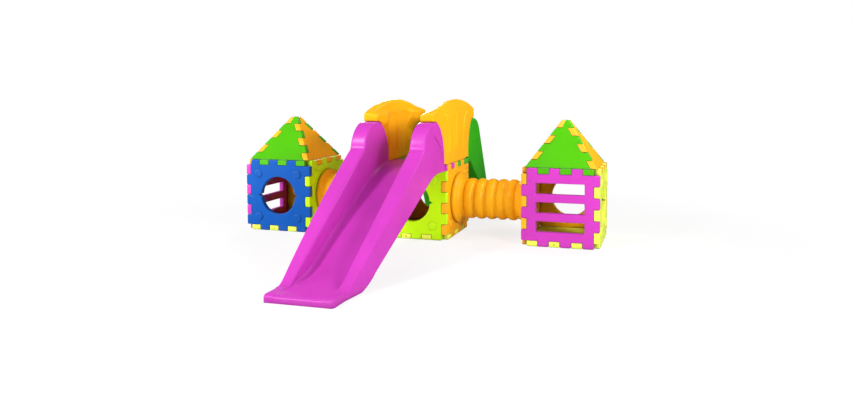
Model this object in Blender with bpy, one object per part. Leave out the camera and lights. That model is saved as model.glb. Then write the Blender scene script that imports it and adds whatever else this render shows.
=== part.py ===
"""Modular playset: two toy houses and a slide tower, joined by two crawl tunnels.

Metres, +Z up. X runs along the row of cubes, the slide comes down towards -Y and the steps
climb from +Y. The origin is on the ground under the middle of the set.
"""
import math

import bmesh
import bpy
from mathutils import Matrix, Vector

for old in list(bpy.data.objects):
    bpy.data.objects.remove(old, do_unlink=True)

# Cube walls: square blow-moulded panels that lock together with square teeth
PANEL_SIZE = 0.84
WALL = 0.06
TEETH_PER_EDGE = 3
JOINT_GAP = 0.002
REST_GAP = 0.0004
TOOTH_CHAMFER = 0.012

# Round window, with a pointed notch on each side for the tunnel's lugs
HOLE_RADIUS = 0.222
HOLE_SIDES = 24
NOTCH_DEPTH = 0.034
NOTCH_HEIGHT = 0.034

# Raised round pads at the corners of a window panel
PAD_RADIUS = 0.05
PAD_HEIGHT = 0.011
PAD_CLEARANCE = 0.031
PAD_SIDES = 10

# Ladder window: three wide slots
SLOT_COUNT = 3
SLOT_WIDTH = 0.52
SLOT_HEIGHT = 0.116
SLOT_PITCH = 0.204
SLOT_CHAMFER = 0.006

# Blow-moulding vent in the middle tooth of a floor panel
VENT_RADIUS = 0.006
VENT_DEPTH = 0.014

# Pyramid roof of four interlocking triangles
ROOF_HEIGHT = 0.497
ROOF_INSET = 0.03
ROOF_TOP_WIDTH = 0.084
ROOF_WALL = 0.054

# Crawl tunnel
TUNNEL_LENGTH = 0.84
TUNNEL_RIBS = 5
TUNNEL_RIB_PITCH = 0.124
TUNNEL_RIB_HEIGHT = 0.019
TUNNEL_SKIN = 0.014
TUNNEL_SIDES = 20
NECK_GAP = 0.003
NECK_WALL = 0.02
FLANGE_WIDTH = 0.062
FLANGE_THICKNESS = 0.052
LUG_LENGTH = 0.022
LUG_RISE = 0.024
LUG_ANGLE = math.radians(28)

# Deck of the tower, made by the landings of the slide and of the steps
DECK_SKIN = 0.012
LAP = 0.02

# Slide
RAIL_INSET = 0.009
RAIL_WIDTH = 0.167
RAIL_TAPER_OUTSIDE = 0.101
RAIL_TAPER_INSIDE = 0.03
RAIL_RUNOUT = 0.10
RAIL_CHAMFER = 0.014
SLIDE_ANGLE = math.radians(27)
CREST_FORWARD = 0.33
CREST_RADIUS = 1.20
RUNOUT_RADIUS = 0.75
BED_BOW = 0.02
BED_THICKNESS = 0.045
BED_FILLET = 0.045
LIP_HEIGHT = 0.062
LIP_LENGTH = 0.29
LIP_ROUND = 0.022

# Rounded humps beside the top of the slide and of the steps
HUMP_SETBACK = 0.035
SLIDE_HUMP_RISE = 0.478
SLIDE_HUMP_FOOT = 0.058
SLIDE_HUMP_BACK = 0.265
SLIDE_HUMP_FLAT = 0.06
SLIDE_HUMP_FRONT = 0.275
SLIDE_HUMP_FRONT_DROP = 0.335
STEP_HUMP_RISE = 0.458
STEP_HUMP_FOOT = 0.038
STEP_HUMP_BACK = 0.215
STEP_HUMP_FLAT = 0.035
STEP_HUMP_RADIUS = 0.25
RAIL_START_DROP = 0.265
HUMP_STEPS = 8
GROOVE_WIDTH = 0.014
GROOVE_DEPTH = 0.006

# Climbing steps
STEP_COUNT = 4
STEP_DEPTH = 0.15
LANDING_LENGTH = 0.50
STEP_NOSE = 0.012
STEP_TOE = 0.02
STEP_WALL_ANGLE = math.radians(63.7)
STEP_UNDER_ANGLE = math.radians(38)
STEP_UNDER_START = 0.12
STEP_UNDER_LENGTH = 0.38
STEP_UNDER_LIFT = 0.02

# Mushroom-shaped side guards: a web over the side wall, an arched crown and a thick nose at each end
GUARD_INSET = 0.016
GUARD_WEB = 0.07
GUARD_RISE = 0.232
GUARD_CROWN_RADIUS = 2.05
GUARD_FRONT_OVERHANG = 0.33
GUARD_BACK_OVERHANG = 0.30
GUARD_NOSE = 0.16
GUARD_NOSE_RISE = 0.097
GUARD_NOSE_ROOT = 0.22
GUARD_SWELL = 0.012
GUARD_SWELL_RISE = 0.067
GUARD_CHAMFER = 0.012
GUARD_RIB_WIDTH = 0.07
GUARD_RIB_HEIGHT = 0.012
GUARD_RIB_SPACING = 0.26
GUARD_RIB_FLARE = 0.11
TONGUE_LENGTH = 0.07
TONGUE_THICKNESS = 0.024
TONGUE_DEPTH = 0.045
TONGUE_GAP = 0.001

# Worked out from the sizes above
HALF = PANEL_SIZE / 2
INNER = HALF - WALL
TOOTH_PITCH = (PANEL_SIZE - 2 * WALL) / (2 * TEETH_PER_EDGE)
CUBE_SPACING = PANEL_SIZE + TUNNEL_LENGTH
NECK_RADIUS = HOLE_RADIUS - NECK_GAP
BORE_RADIUS = NECK_RADIUS - NECK_WALL
FLANGE_RADIUS = NECK_RADIUS + FLANGE_WIDTH
PAD_OFFSET = (FLANGE_RADIUS + PAD_CLEARANCE + PAD_RADIUS) / math.sqrt(2)
DECK_TOP = PANEL_SIZE + DECK_SKIN
DECK_BOTTOM = PANEL_SIZE - WALL
RAIL_OUTER = HALF - RAIL_INSET
RAIL_INNER = RAIL_OUTER - RAIL_WIDTH
CHUTE_RUN = CREST_FORWARD + (DECK_TOP - LIP_HEIGHT) / math.tan(SLIDE_ANGLE)
RUNOUT_END = CHUTE_RUN + RUNOUT_RADIUS * math.tan(SLIDE_ANGLE / 2)
RAIL_END = RUNOUT_END + RAIL_RUNOUT
SLIDE_LENGTH = RUNOUT_END + LIP_LENGTH
SLIDE_HUMP_END = HUMP_SETBACK + SLIDE_HUMP_BACK + SLIDE_HUMP_FLAT + SLIDE_HUMP_FRONT
STEP_HUMP_CENTRE = Vector((
    HUMP_SETBACK + STEP_HUMP_BACK + STEP_HUMP_FLAT, DECK_TOP + STEP_HUMP_RISE - STEP_HUMP_RADIUS
))
WALL_TANGENT = STEP_HUMP_CENTRE + STEP_HUMP_RADIUS * Vector(
    (math.sin(STEP_WALL_ANGLE), math.cos(STEP_WALL_ANGLE))
)
STEPS_LENGTH = WALL_TANGENT.x + WALL_TANGENT.y / math.tan(STEP_WALL_ANGLE)
STEPS_REACH = STEPS_LENGTH - STEP_TOE
ROW_Y = (SLIDE_LENGTH - STEPS_REACH) / 2
GUARD_OUTER = HALF - GUARD_INSET
GUARD_MIDDLE = GUARD_OUTER - GUARD_NOSE / 2
GUARD_BASE = DECK_TOP + SLIDE_HUMP_RISE


def plain_colour(red, green, blue):
    """Turns a colour as seen on a screen, 0 to 255, into the linear values that a shader takes."""
    values = []
    for level in (red, green, blue):
        share = level / 255
        values.append(share / 12.92 if share <= 0.04045 else ((share + 0.055) / 1.055) ** 2.4)
    return (*values, 1.0)


MAGENTA = plain_colour(224, 62, 208)
BLUE = plain_colour(0, 104, 222)
GREEN = plain_colour(96, 214, 14)
LIME = plain_colour(158, 218, 6)
LEMON = plain_colour(228, 246, 66)
ORANGE = plain_colour(255, 186, 40)
DARK_GREEN = plain_colour(52, 150, 18)


def plastic(name, colour):
    """Moulded polyethylene: one even colour with a soft sheen."""
    material = bpy.data.materials.new(name + "_plastic")
    material.use_nodes = True
    shader = material.node_tree.nodes["Principled BSDF"]
    shader.inputs["Base Color"].default_value = colour
    shader.inputs["Roughness"].default_value = 0.38
    shader.inputs["Metallic"].default_value = 0.0
    return material


def finish_mesh(name, bm):
    """Closes a bmesh into a mesh whose faces all point outwards."""
    bmesh.ops.remove_doubles(bm, verts=bm.verts, dist=1e-6)
    bmesh.ops.recalc_face_normals(bm, faces=bm.faces)
    mesh = bpy.data.meshes.new(name)
    bm.to_mesh(mesh)
    bm.free()
    return mesh


def add_piece(name, mesh, colour, parent, smooth=False):
    """One physical piece, with its own material, hung on the empty of its group."""
    piece = bpy.data.objects.new(name, mesh)
    bpy.context.scene.collection.objects.link(piece)
    piece.data.materials.append(plastic(name, colour))
    piece.parent = parent
    if smooth:
        mesh.shade_smooth()
        mesh.set_sharp_from_angle(angle=math.radians(35))
    return piece


def add_group(name, location):
    empty = bpy.data.objects.new(name, None)
    empty.location = location
    bpy.context.scene.collection.objects.link(empty)
    return empty


def add_tool(name, mesh, parent, location=(0, 0, 0)):
    """A shape that only cuts or joins another piece."""
    tool = bpy.data.objects.new(name, mesh)
    bpy.context.scene.collection.objects.link(tool)
    tool.parent = parent
    tool.location = location
    tool.hide_render = True
    tool.display_type = "WIRE"
    return tool


def combine(piece, tool, operation):
    boolean = piece.modifiers.new(operation.lower() + "_" + tool.name, "BOOLEAN")
    boolean.operation = operation
    boolean.object = tool
    boolean.solver = "EXACT"


def ring(bm, points):
    return [bm.verts.new(point) for point in points]


def wall(bm, first, second):
    """Quads between two closed rings of the same count."""
    count = len(first)
    for i in range(count):
        j = (i + 1) % count
        bm.faces.new((first[i], first[j], second[j], second[i]))


def cap(bm, rings):
    """Fills a flat region bounded by an outer ring and any rings inside it."""
    edges = []
    for verts in rings:
        for i, vert in enumerate(verts):
            after = verts[(i + 1) % len(verts)]
            edges.append(bm.edges.get((vert, after)) or bm.edges.new((vert, after)))
    bmesh.ops.triangle_fill(bm, edges=edges, use_beauty=True)


def box(bm, low, high):
    corners = [Vector((x, y, z)) for z in (low[2], high[2]) for x, y in
               ((low[0], low[1]), (high[0], low[1]), (high[0], high[1]), (low[0], high[1]))]
    bottom = ring(bm, corners[:4])
    top = ring(bm, corners[4:])
    wall(bm, bottom, top)
    bm.faces.new(bottom)
    bm.faces.new(top)


def loft(bm, sections):
    """Skins a row of closed sections of the same count and closes both ends."""
    rings = [ring(bm, section) for section in sections]
    for first, second in zip(rings, rings[1:]):
        wall(bm, first, second)
    bm.faces.new(rings[0])
    bm.faces.new(rings[-1])


def prism(bm, outline, low, high):
    """Extrudes an outline in the Y-Z plane from x = low to x = high."""
    first = ring(bm, [(low, y, z) for y, z in outline])
    second = ring(bm, [(high, y, z) for y, z in outline])
    wall(bm, first, second)
    cap(bm, [first])
    cap(bm, [second])


def arc(centre, radius, start, end, steps):
    """Points on an arc; angles in degrees, counter-clockwise from +first axis."""
    points = []
    for i in range(steps + 1):
        angle = math.radians(start + (end - start) * i / steps)
        points.append((centre[0] + radius * math.cos(angle), centre[1] + radius * math.sin(angle)))
    return points


# Finger joints

def tooth_span(index):
    """Where a tooth lies along its edge, from the corner that it follows clockwise."""
    start = -INNER + 2 * index * TOOTH_PITCH
    lead = JOINT_GAP if index == 0 else JOINT_GAP / 2
    return start + lead, start + TOOTH_PITCH - JOINT_GAP / 2


def panel_outline():
    """Outline of a wall panel, clockwise as seen from outside; each edge goes tooth, gap, tooth."""
    core = INNER - JOINT_GAP
    edge = []
    for index in range(TEETH_PER_EDGE):
        low, high = tooth_span(index)
        if index > 0:
            edge.append((low, core))
        edge.append((low, HALF - TOOTH_CHAMFER))
        edge.append((low + TOOTH_CHAMFER, HALF))
        edge.append((high - TOOTH_CHAMFER, HALF))
        edge.append((high, HALF - TOOTH_CHAMFER))
        edge.append((high, core))
    outline = []
    for quarter in range(4):
        turn = Matrix.Rotation(-quarter * math.pi / 2, 2)
        outline += [turn @ Vector(point) for point in edge]
    return outline


def window_outline():
    """Round opening with a pointed notch at three and nine o'clock."""
    half_notch = math.degrees(math.asin(NOTCH_HEIGHT / 2 / HOLE_RADIUS))
    points = []
    for side in (0, 180):
        points += arc((0, 0), HOLE_RADIUS, side + half_notch, side + 180 - half_notch, HOLE_SIDES // 2 - 1)
        reach = -(HOLE_RADIUS + NOTCH_DEPTH) if side == 0 else HOLE_RADIUS + NOTCH_DEPTH
        points.append((reach, 0))
    return points


def slot_outlines():
    slots = []
    half_width = SLOT_WIDTH / 2
    c = SLOT_CHAMFER
    for index in range(SLOT_COUNT):
        middle = (index - (SLOT_COUNT - 1) / 2) * SLOT_PITCH
        low = middle - SLOT_HEIGHT / 2
        high = middle + SLOT_HEIGHT / 2
        slots.append([
            (-half_width, low + c), (-half_width + c, low), (half_width - c, low), (half_width, low + c),
            (half_width, high - c), (half_width - c, high), (-half_width + c, high), (-half_width, high - c),
        ])
    return slots


def panel_mesh(name, kind):
    """A wall panel: outer face on z = 0 looking up +Z, inner face one wall thickness below."""
    openings = {"window": [window_outline()], "ladder": slot_outlines(), "plain": []}[kind]
    bm = bmesh.new()
    outlines = [panel_outline()] + openings
    front = [ring(bm, [(u, v, 0) for u, v in outline]) for outline in outlines]
    back = [ring(bm, [(u, v, -WALL) for u, v in outline]) for outline in outlines]
    for front_ring, back_ring in zip(front, back):
        wall(bm, front_ring, back_ring)
    pads = []
    if kind == "window":
        for quarter in range(4):
            middle = Matrix.Rotation(quarter * math.pi / 2, 2) @ Vector((PAD_OFFSET, PAD_OFFSET))
            circle = arc(middle, PAD_RADIUS, 0, 360, PAD_SIDES)[:-1]
            foot = ring(bm, [(u, v, 0) for u, v in circle])
            crown = ring(bm, [(middle.x + 0.86 * (u - middle.x), middle.y + 0.86 * (v - middle.y), PAD_HEIGHT)
                              for u, v in circle])
            wall(bm, foot, crown)
            bm.faces.new(crown)
            pads.append(foot)
    cap(bm, front + pads)
    cap(bm, back)
    return finish_mesh(name, bm)


SIDES = {
    "front": ((1, 0, 0), (0, 0, 1)),
    "right": ((0, 1, 0), (0, 0, 1)),
    "back": ((-1, 0, 0), (0, 0, 1)),
    "left": ((0, -1, 0), (0, 0, 1)),
    "floor": ((1, 0, 0), (0, -1, 0)),
}


def side_transform(side):
    """Stands a panel on one side of a cube whose centre is the parent empty."""
    across, up = (Vector(axis) for axis in SIDES[side])
    outward = across.cross(up)
    turn = Matrix((across, up, outward)).transposed()
    return Matrix.Translation(outward * HALF) @ turn.to_4x4()


def add_panel(cube, prefix, side, kind, colour):
    name = f"{prefix}_{side}_panel"
    piece = add_piece(name, panel_mesh(name, kind), colour, cube)
    piece.matrix_local = side_transform(side)
    if side == "floor":
        add_vent(piece)
    return piece


def add_vent(panel):
    """Blind vent hole in the end of the middle tooth on the panel's first edge."""
    low, high = tooth_span(1)
    bm = bmesh.new()
    circle = arc(((low + high) / 2, -WALL / 2), VENT_RADIUS, 0, 360, 8)[:-1]
    inside = ring(bm, [(u, HALF - VENT_DEPTH, z) for u, z in circle])
    outside = ring(bm, [(u, HALF + VENT_DEPTH, z) for u, z in circle])
    wall(bm, inside, outside)
    bm.faces.new(inside)
    bm.faces.new(outside)
    vent = add_tool(panel.name + "_vent", finish_mesh(panel.name + "_vent", bm), panel)
    combine(panel, vent, "DIFFERENCE")


# Roof

def roof_reach(height):
    """Distance from the roof's middle to its outer face at a height above the walls."""
    foot = HALF - ROOF_INSET
    return foot + (ROOF_TOP_WIDTH / 2 - foot) * height / ROOF_HEIGHT


def roof_inner_reach(height):
    slope = math.atan2(ROOF_HEIGHT, HALF - ROOF_INSET - ROOF_TOP_WIDTH / 2)
    return max(roof_reach(height) - ROOF_WALL / math.sin(slope), JOINT_GAP / 2)


def roof_mesh(name):
    """The front triangle: fingers alternate with its neighbours' up both hips, teeth stand in the wall."""
    layers = 2 * TEETH_PER_EDGE
    layer = ROOF_HEIGHT / layers
    foot = HALF - ROOF_INSET
    slope = math.atan2(ROOF_HEIGHT, foot - ROOF_TOP_WIDTH / 2)
    closing = ROOF_HEIGHT * (foot - ROOF_WALL / math.sin(slope) - JOINT_GAP / 2) / (foot - ROOF_TOP_WIDTH / 2)
    half_gap = JOINT_GAP / 2

    def hip(first_owned):
        """Reach along one hip, bottom to top, as (reach, height) pairs."""
        points = []
        for index in range(layers):
            owned = index % 2 == first_owned
            low = index * layer + (half_gap if owned or index == 0 else -half_gap)
            high = (index + 1) * layer + (-half_gap if owned or index == layers - 1 else half_gap)
            low = max(low, REST_GAP)
            for height in (low, high):
                reach = roof_reach(height) if owned else roof_inner_reach(height) - JOINT_GAP
                points.append((reach, height))
            if low < closing < high:
                reach = roof_reach(closing) if owned else roof_inner_reach(closing) - JOINT_GAP
                points.insert(-1, (reach, closing))
        return points

    left = [(-reach, height) for reach, height in hip(0)]
    right = hip(1)
    bm = bmesh.new()
    outline = right + left[::-1]
    outer = ring(bm, [(x, -roof_reach(h), PANEL_SIZE + h) for x, h in outline])
    inner = ring(bm, [(x, -roof_inner_reach(h), PANEL_SIZE + h) for x, h in outline])
    wall(bm, outer, inner)
    cap(bm, [outer])
    # The inner face folds where it reaches the middle, so it is filled in two flat parts.
    folds = [i for i, (x, h) in enumerate(outline) if abs(h - closing) < 1e-9]
    upper = inner[folds[0]:folds[1] + 1]
    lower = inner[folds[1]:] + inner[:folds[0] + 1]
    for part in (upper, lower):
        cap(bm, [part])
    mesh = finish_mesh(name, bm)
    return mesh


def roof_teeth_mesh(name):
    """Three teeth that drop into the gaps along the top of a wall."""
    bm = bmesh.new()
    for index in range(TEETH_PER_EDGE):
        low = -INNER + (2 * index + 1) * TOOTH_PITCH + JOINT_GAP / 2
        high = low + TOOTH_PITCH - JOINT_GAP
        if index == TEETH_PER_EDGE - 1:
            high -= JOINT_GAP / 2
        joined = min(high - 0.004, roof_inner_reach(0.01) - JOINT_GAP)
        outline = [(low, DECK_BOTTOM), (high, DECK_BOTTOM), (high, PANEL_SIZE - 0.001),
                   (joined, PANEL_SIZE - 0.001), (joined, PANEL_SIZE + 0.006), (low, PANEL_SIZE + 0.006)]
        outside = ring(bm, [(x, -HALF, z) for x, z in outline])
        inside = ring(bm, [(x, -INNER, z) for x, z in outline])
        wall(bm, outside, inside)
        cap(bm, [outside])
        cap(bm, [inside])
    return finish_mesh(name, bm)


def add_roof(cube, prefix, colours):
    for quarter, (side, colour) in enumerate(zip(("front", "right", "back", "left"), colours)):
        name = f"{prefix}_roof_{side}"
        piece = add_piece(name, roof_mesh(name), colour, cube)
        piece.location.z = -HALF
        piece.rotation_euler.z = quarter * math.pi / 2
        teeth = add_tool(name + "_teeth", roof_teeth_mesh(name + "_teeth"), piece)
        combine(piece, teeth, "UNION")


# Tunnel

def tunnel_profile():
    """Half of the tube's section, from its middle to its end: (distance, radius) pairs."""
    valley = BORE_RADIUS + TUNNEL_SKIN
    crest = valley + TUNNEL_RIB_HEIGHT
    points = []
    for index in range(TUNNEL_RIBS // 2 + 1):
        middle = index * TUNNEL_RIB_PITCH
        if index > 0:
            points.append((middle - 0.34 * TUNNEL_RIB_PITCH, crest))
        points.append((middle + 0.34 * TUNNEL_RIB_PITCH, crest))
        points.append((middle + 0.5 * TUNNEL_RIB_PITCH, valley))
    end = TUNNEL_LENGTH / 2
    flange_face = end - FLANGE_THICKNESS
    points.append((flange_face - 0.012, crest + 0.004))
    points.append((flange_face, FLANGE_RADIUS - 0.016))
    points.append((flange_face + 0.014, FLANGE_RADIUS))
    points.append((end - REST_GAP, FLANGE_RADIUS))
    points.append((end - REST_GAP, NECK_RADIUS))
    points.append((end + WALL + JOINT_GAP + LUG_LENGTH, NECK_RADIUS))
    points.append((end + WALL + JOINT_GAP + LUG_LENGTH, BORE_RADIUS))
    return points


def tunnel_mesh(name):
    half = tunnel_profile()
    profile = [(-x, r) for x, r in half[::-1]] + half
    bm = bmesh.new()
    loops = []
    for index in range(TUNNEL_SIDES):
        angle = 2 * math.pi * index / TUNNEL_SIDES
        loops.append(ring(bm, [(x, r * math.cos(angle), r * math.sin(angle)) for x, r in profile]))
    for index in range(TUNNEL_SIDES):
        wall(bm, loops[index], loops[(index + 1) % TUNNEL_SIDES])
    return finish_mesh(name, bm)


def lugs_mesh(name):
    """Bayonet lugs behind both walls, two on each neck, turned an eighth from the notches."""
    bm = bmesh.new()
    start = TUNNEL_LENGTH / 2 + WALL + JOINT_GAP
    for end in (-1, 1):
        for turn in (45, 225):
            inside = []
            outside = []
            for step in range(5):
                angle = math.radians(turn) + LUG_ANGLE * (step / 4 - 0.5)
                rise = LUG_RISE * (1 - abs(step / 2 - 1) * 0.55)
                inside.append((NECK_RADIUS - NECK_WALL / 2, angle))
                outside.append((NECK_RADIUS + rise, angle))
            outline = inside + outside[::-1]
            faces = []
            for x in (start, start + LUG_LENGTH - 0.002):
                faces.append(ring(bm, [(end * x, r * math.cos(a), r * math.sin(a)) for r, a in outline]))
            wall(bm, faces[0], faces[1])
            cap(bm, [faces[0]])
            cap(bm, [faces[1]])
    return finish_mesh(name, bm)


def add_tunnel(name, x):
    group = add_group(name + "_axis", (x, ROW_Y, HALF))
    tube = add_piece(name, tunnel_mesh(name), ORANGE, group, smooth=True)
    lugs = add_tool(name + "_lugs", lugs_mesh(name + "_lugs"), tube)
    combine(tube, lugs, "UNION")


# Deck: both landings have the same plan, turned half round

def deck_outline():
    """Plan of the front landing, counter-clockwise, with teeth in the side walls' gaps."""
    gap = JOINT_GAP
    side = INNER - gap
    first = -INNER + TOOTH_PITCH
    teeth = []
    for index in range(2 * TEETH_PER_EDGE):
        low = -INNER + index * TOOTH_PITCH
        if low < -gap:
            teeth.append((index, low, low + TOOTH_PITCH))
    under = RAIL_OUTER - 0.004
    front = -HALF - HUMP_SETBACK - LAP
    right = [(under, front), (under, -HALF), (HALF, -HALF), (HALF, -INNER - gap / 2), (side, -INNER - gap / 2)]
    for index, low, high in teeth:
        if index % 2 == 1:
            low, high = low + gap / 2, min(high - gap / 2, -gap / 2)
            right += [(side, low), (HALF, low), (HALF, high), (side, high)]
    right.append((side, -gap / 2))
    left = [(-under, front), (-under, -HALF), (-HALF, -HALF)]
    for index, low, high in teeth:
        if index % 2 == 0:
            low = -HALF if index == 0 else low + gap / 2
            high = min(high - gap / 2, -gap / 2)
            if index > 0:
                left += [(-side, low), (-HALF, low)]
            left += [(-HALF, high), (-side, high)]
    if abs(left[-1][1] + gap / 2) > 1e-9:
        left.append((-side, -gap / 2))
    outline = right + left[::-1]
    clean = []
    for point in outline:
        if not clean or (Vector(point) - Vector(clean[-1])).length > 1e-6:
            clean.append(point)
    return clean


def deck_mesh(name):
    """Landing plate with teeth for the side walls' gaps."""
    bm = bmesh.new()
    outline = deck_outline()
    low = ring(bm, [(x, y, DECK_BOTTOM) for x, y in outline])
    high = ring(bm, [(x, y, PANEL_SIZE - REST_GAP) for x, y in outline])
    wall(bm, low, high)
    cap(bm, [low])
    cap(bm, [high])
    return finish_mesh(name, bm)


def deck_skin_mesh(name):
    """Raised floor between the side walls, carried on a little way under the humps."""
    bm = bmesh.new()
    side = INNER - JOINT_GAP - 0.001
    box(bm, (-side, -HALF - HUMP_SETBACK - LAP, DECK_BOTTOM + 0.005),
        (side, -JOINT_GAP / 2 - 0.001, DECK_TOP - 0.001))
    return finish_mesh(name, bm)


def deck_cuts_mesh(name):
    """Blind pockets for the wall's top teeth, and sockets for the guards' tongues."""
    bm = bmesh.new()
    for index in range(TEETH_PER_EDGE):
        low, high = tooth_span(index)
        box(bm, (low - JOINT_GAP, -HALF - JOINT_GAP, DECK_BOTTOM - 0.02),
            (high + JOINT_GAP, -INNER + JOINT_GAP, PANEL_SIZE + REST_GAP))
    gap = TONGUE_GAP
    for x, y in (tongue_place(1), tongue_place(-1)):
        box(bm, (x - TONGUE_THICKNESS / 2 - gap, y - TONGUE_LENGTH / 2 - gap, PANEL_SIZE - TONGUE_DEPTH - gap),
            (x + TONGUE_THICKNESS / 2 + gap, y + TONGUE_LENGTH / 2 + gap, PANEL_SIZE + 0.02))
    return finish_mesh(name, bm)


def tongue_place(side):
    """Middle of the socket that the front landing has for a guard's tongue, on its right or its left."""
    index = 1 if side > 0 else 0
    low = -INNER + index * TOOTH_PITCH
    if side < 0:
        low = -TOOTH_PITCH * (1 if TEETH_PER_EDGE % 2 else 2)
    return side * (HALF - WALL / 2 - 0.005), low + TOOTH_PITCH / 2


def hump_back(back, rise, foot, gap=0.0):
    """(run, height) pairs up the side of a hump that faces the guard, from its foot to its crest."""
    points = []
    for index in range(HUMP_STEPS + 1):
        angle = math.radians(90 * index / HUMP_STEPS)
        run = HUMP_SETBACK + back - (back + gap) * math.cos(angle)
        height = DECK_TOP + foot + (rise - foot + gap) * math.sin(angle)
        points.append((run, height))
    return points


# Slide

def bed_height(run):
    """Height of the sliding surface at a distance forward of the tower."""
    tangent = math.tan(SLIDE_ANGLE / 2)
    crest_start = CREST_FORWARD - CREST_RADIUS * tangent
    crest_end = CREST_FORWARD + CREST_RADIUS * tangent * math.cos(SLIDE_ANGLE)
    runout_start = CHUTE_RUN - RUNOUT_RADIUS * tangent * math.cos(SLIDE_ANGLE)
    if run <= crest_start:
        return DECK_TOP
    if run < crest_end:
        return DECK_TOP - CREST_RADIUS + math.sqrt(CREST_RADIUS ** 2 - (run - crest_start) ** 2)
    if run < runout_start:
        share = (run - crest_end) / (runout_start - crest_end)
        return DECK_TOP - (run - CREST_FORWARD) * math.tan(SLIDE_ANGLE) + 4 * BED_BOW * share * (1 - share)
    if run < RUNOUT_END:
        return LIP_HEIGHT + RUNOUT_RADIUS - math.sqrt(RUNOUT_RADIUS ** 2 - (RUNOUT_END - run) ** 2)
    return LIP_HEIGHT


def underside_height(run):
    drop = BED_THICKNESS / math.cos(SLIDE_ANGLE / 2)
    return min(DECK_BOTTOM + 0.001, max(0.0, bed_height(run) - drop - 0.35 * max(0.0, 0.16 - bed_height(run))))


def outer_reach(run):
    """Half width over the rails, drawn in towards the foot of the slide."""
    share = min(1.0, max(0.0, (run - SLIDE_HUMP_END) / (RAIL_END - SLIDE_HUMP_END)))
    return RAIL_OUTER - RAIL_TAPER_OUTSIDE * share ** 2


def inner_reach(run):
    share = min(1.0, max(0.0, (run - SLIDE_HUMP_END) / (RAIL_END - SLIDE_HUMP_END)))
    return RAIL_INNER - RAIL_TAPER_INSIDE * share


def rail_height(run):
    """Straight top of a side rail, from the foot of the hump to the lip."""
    start_height = DECK_TOP + SLIDE_HUMP_RISE - RAIL_START_DROP
    end = RAIL_END - 0.06
    return start_height + (LIP_HEIGHT - start_height) * (run - SLIDE_HUMP_END) / (end - SLIDE_HUMP_END)


def rail_stations():
    """(run, height) pairs over the hump and down the rail."""
    stations = hump_back(SLIDE_HUMP_BACK, SLIDE_HUMP_RISE, SLIDE_HUMP_FOOT)
    crest = SLIDE_HUMP_END - SLIDE_HUMP_FRONT
    low = DECK_TOP + SLIDE_HUMP_RISE - SLIDE_HUMP_FRONT_DROP
    for index in range(HUMP_STEPS):
        angle = math.radians(90 * (1 - index / HUMP_STEPS))
        run = crest + SLIDE_HUMP_FRONT * math.cos(angle)
        height = low + SLIDE_HUMP_FRONT_DROP * math.sin(angle)
        if height < rail_height(SLIDE_HUMP_END) + 0.01:
            break
        stations.append((run, height))
    stations.append((SLIDE_HUMP_END - 0.004, rail_height(SLIDE_HUMP_END) + 0.012))
    count = 12
    for index in range(count + 1):
        run = SLIDE_HUMP_END + (RAIL_END - SLIDE_HUMP_END) * index / count
        stations.append((run, rail_height(run)))
    return stations


def groove_mesh(name):
    """Curved groove pressed into the outer face of both humps."""
    spine = [(0.105, DECK_TOP), (0.112, DECK_TOP + 0.08), (0.132, DECK_TOP + 0.15),
             (0.17, DECK_TOP + 0.21), (0.226, DECK_TOP + 0.262), (0.34, DECK_TOP + 0.325)]
    bm = bmesh.new()
    half = GROOVE_WIDTH / 2
    for side in (-1, 1):
        sections = []
        for index, (run, height) in enumerate(spine):
            before = Vector(spine[max(0, index - 1)])
            after = Vector(spine[min(len(spine) - 1, index + 1)])
            along = (after - before).normalized()
            across = Vector((-along.y, along.x)) * half
            section = []
            for x, share in ((RAIL_OUTER + 0.01, -2), (RAIL_OUTER - GROOVE_DEPTH, 0), (RAIL_OUTER + 0.01, 2)):
                section.append((side * x, -HALF - run - share * across.x, height + share * across.y))
            sections.append(section)
        loft(bm, sections)
    return finish_mesh(name, bm)


def slide_stations():
    """(run, rail height) pairs from the back of the hump to the front edge of the lip."""
    stations = rail_stations()
    end = stations[-1][0]
    stations += [(end + (SLIDE_LENGTH - LIP_ROUND - end) * i / 2, 0.0) for i in (1, 2)]
    stations += [(SLIDE_LENGTH - 0.4 * LIP_ROUND, 0.0), (SLIDE_LENGTH, 0.0)]
    return stations


def chute_mesh(name):
    """Sliding bed between two rails with humps, one loft down to the rounded front edge."""
    bm = bmesh.new()
    sections = []
    for run, rail in slide_stations():
        curl = max(0.0, 1 - (SLIDE_LENGTH - run) / LIP_ROUND)
        bed = bed_height(run) - 0.5 * LIP_ROUND * curl ** 2
        bottom = underside_height(run) + 0.3 * LIP_ROUND * curl ** 2
        outer = outer_reach(run) - 0.9 * LIP_ROUND * curl ** 2
        inner = inner_reach(run) - 0.9 * LIP_ROUND * curl ** 2
        depth = max(rail - bed, 0.003)
        top = bed + depth
        c = min(RAIL_CHAMFER, 0.3 * depth)
        lift = min(BED_FILLET, 0.4 * depth)
        y = -HALF - run
        right = [
            (outer, y, bottom), (outer, y, top - c), (outer - c, y, top), (inner + c, y, top),
            (inner, y, top - c), (inner, y, bed + lift), (inner - BED_FILLET, y, bed),
        ]
        sections.append(right + [(-x, v, z) for x, v, z in right[::-1]])
    loft(bm, sections)
    return finish_mesh(name, bm)


def add_slide(tower):
    base = add_piece("slide", deck_mesh("slide"), MAGENTA, tower)
    base.location.z = -HALF
    combine(base, add_tool("slide_landing", deck_skin_mesh("slide_landing"), base), "UNION")
    combine(base, add_tool("slide_chute", chute_mesh("slide_chute"), base), "UNION")
    combine(base, add_tool("slide_grooves", groove_mesh("slide_grooves"), base), "DIFFERENCE")
    combine(base, add_tool("slide_pockets", deck_cuts_mesh("slide_pockets"), base), "DIFFERENCE")
    return base


# Climbing steps, modelled like the slide in the front frame and then turned half round

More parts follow.
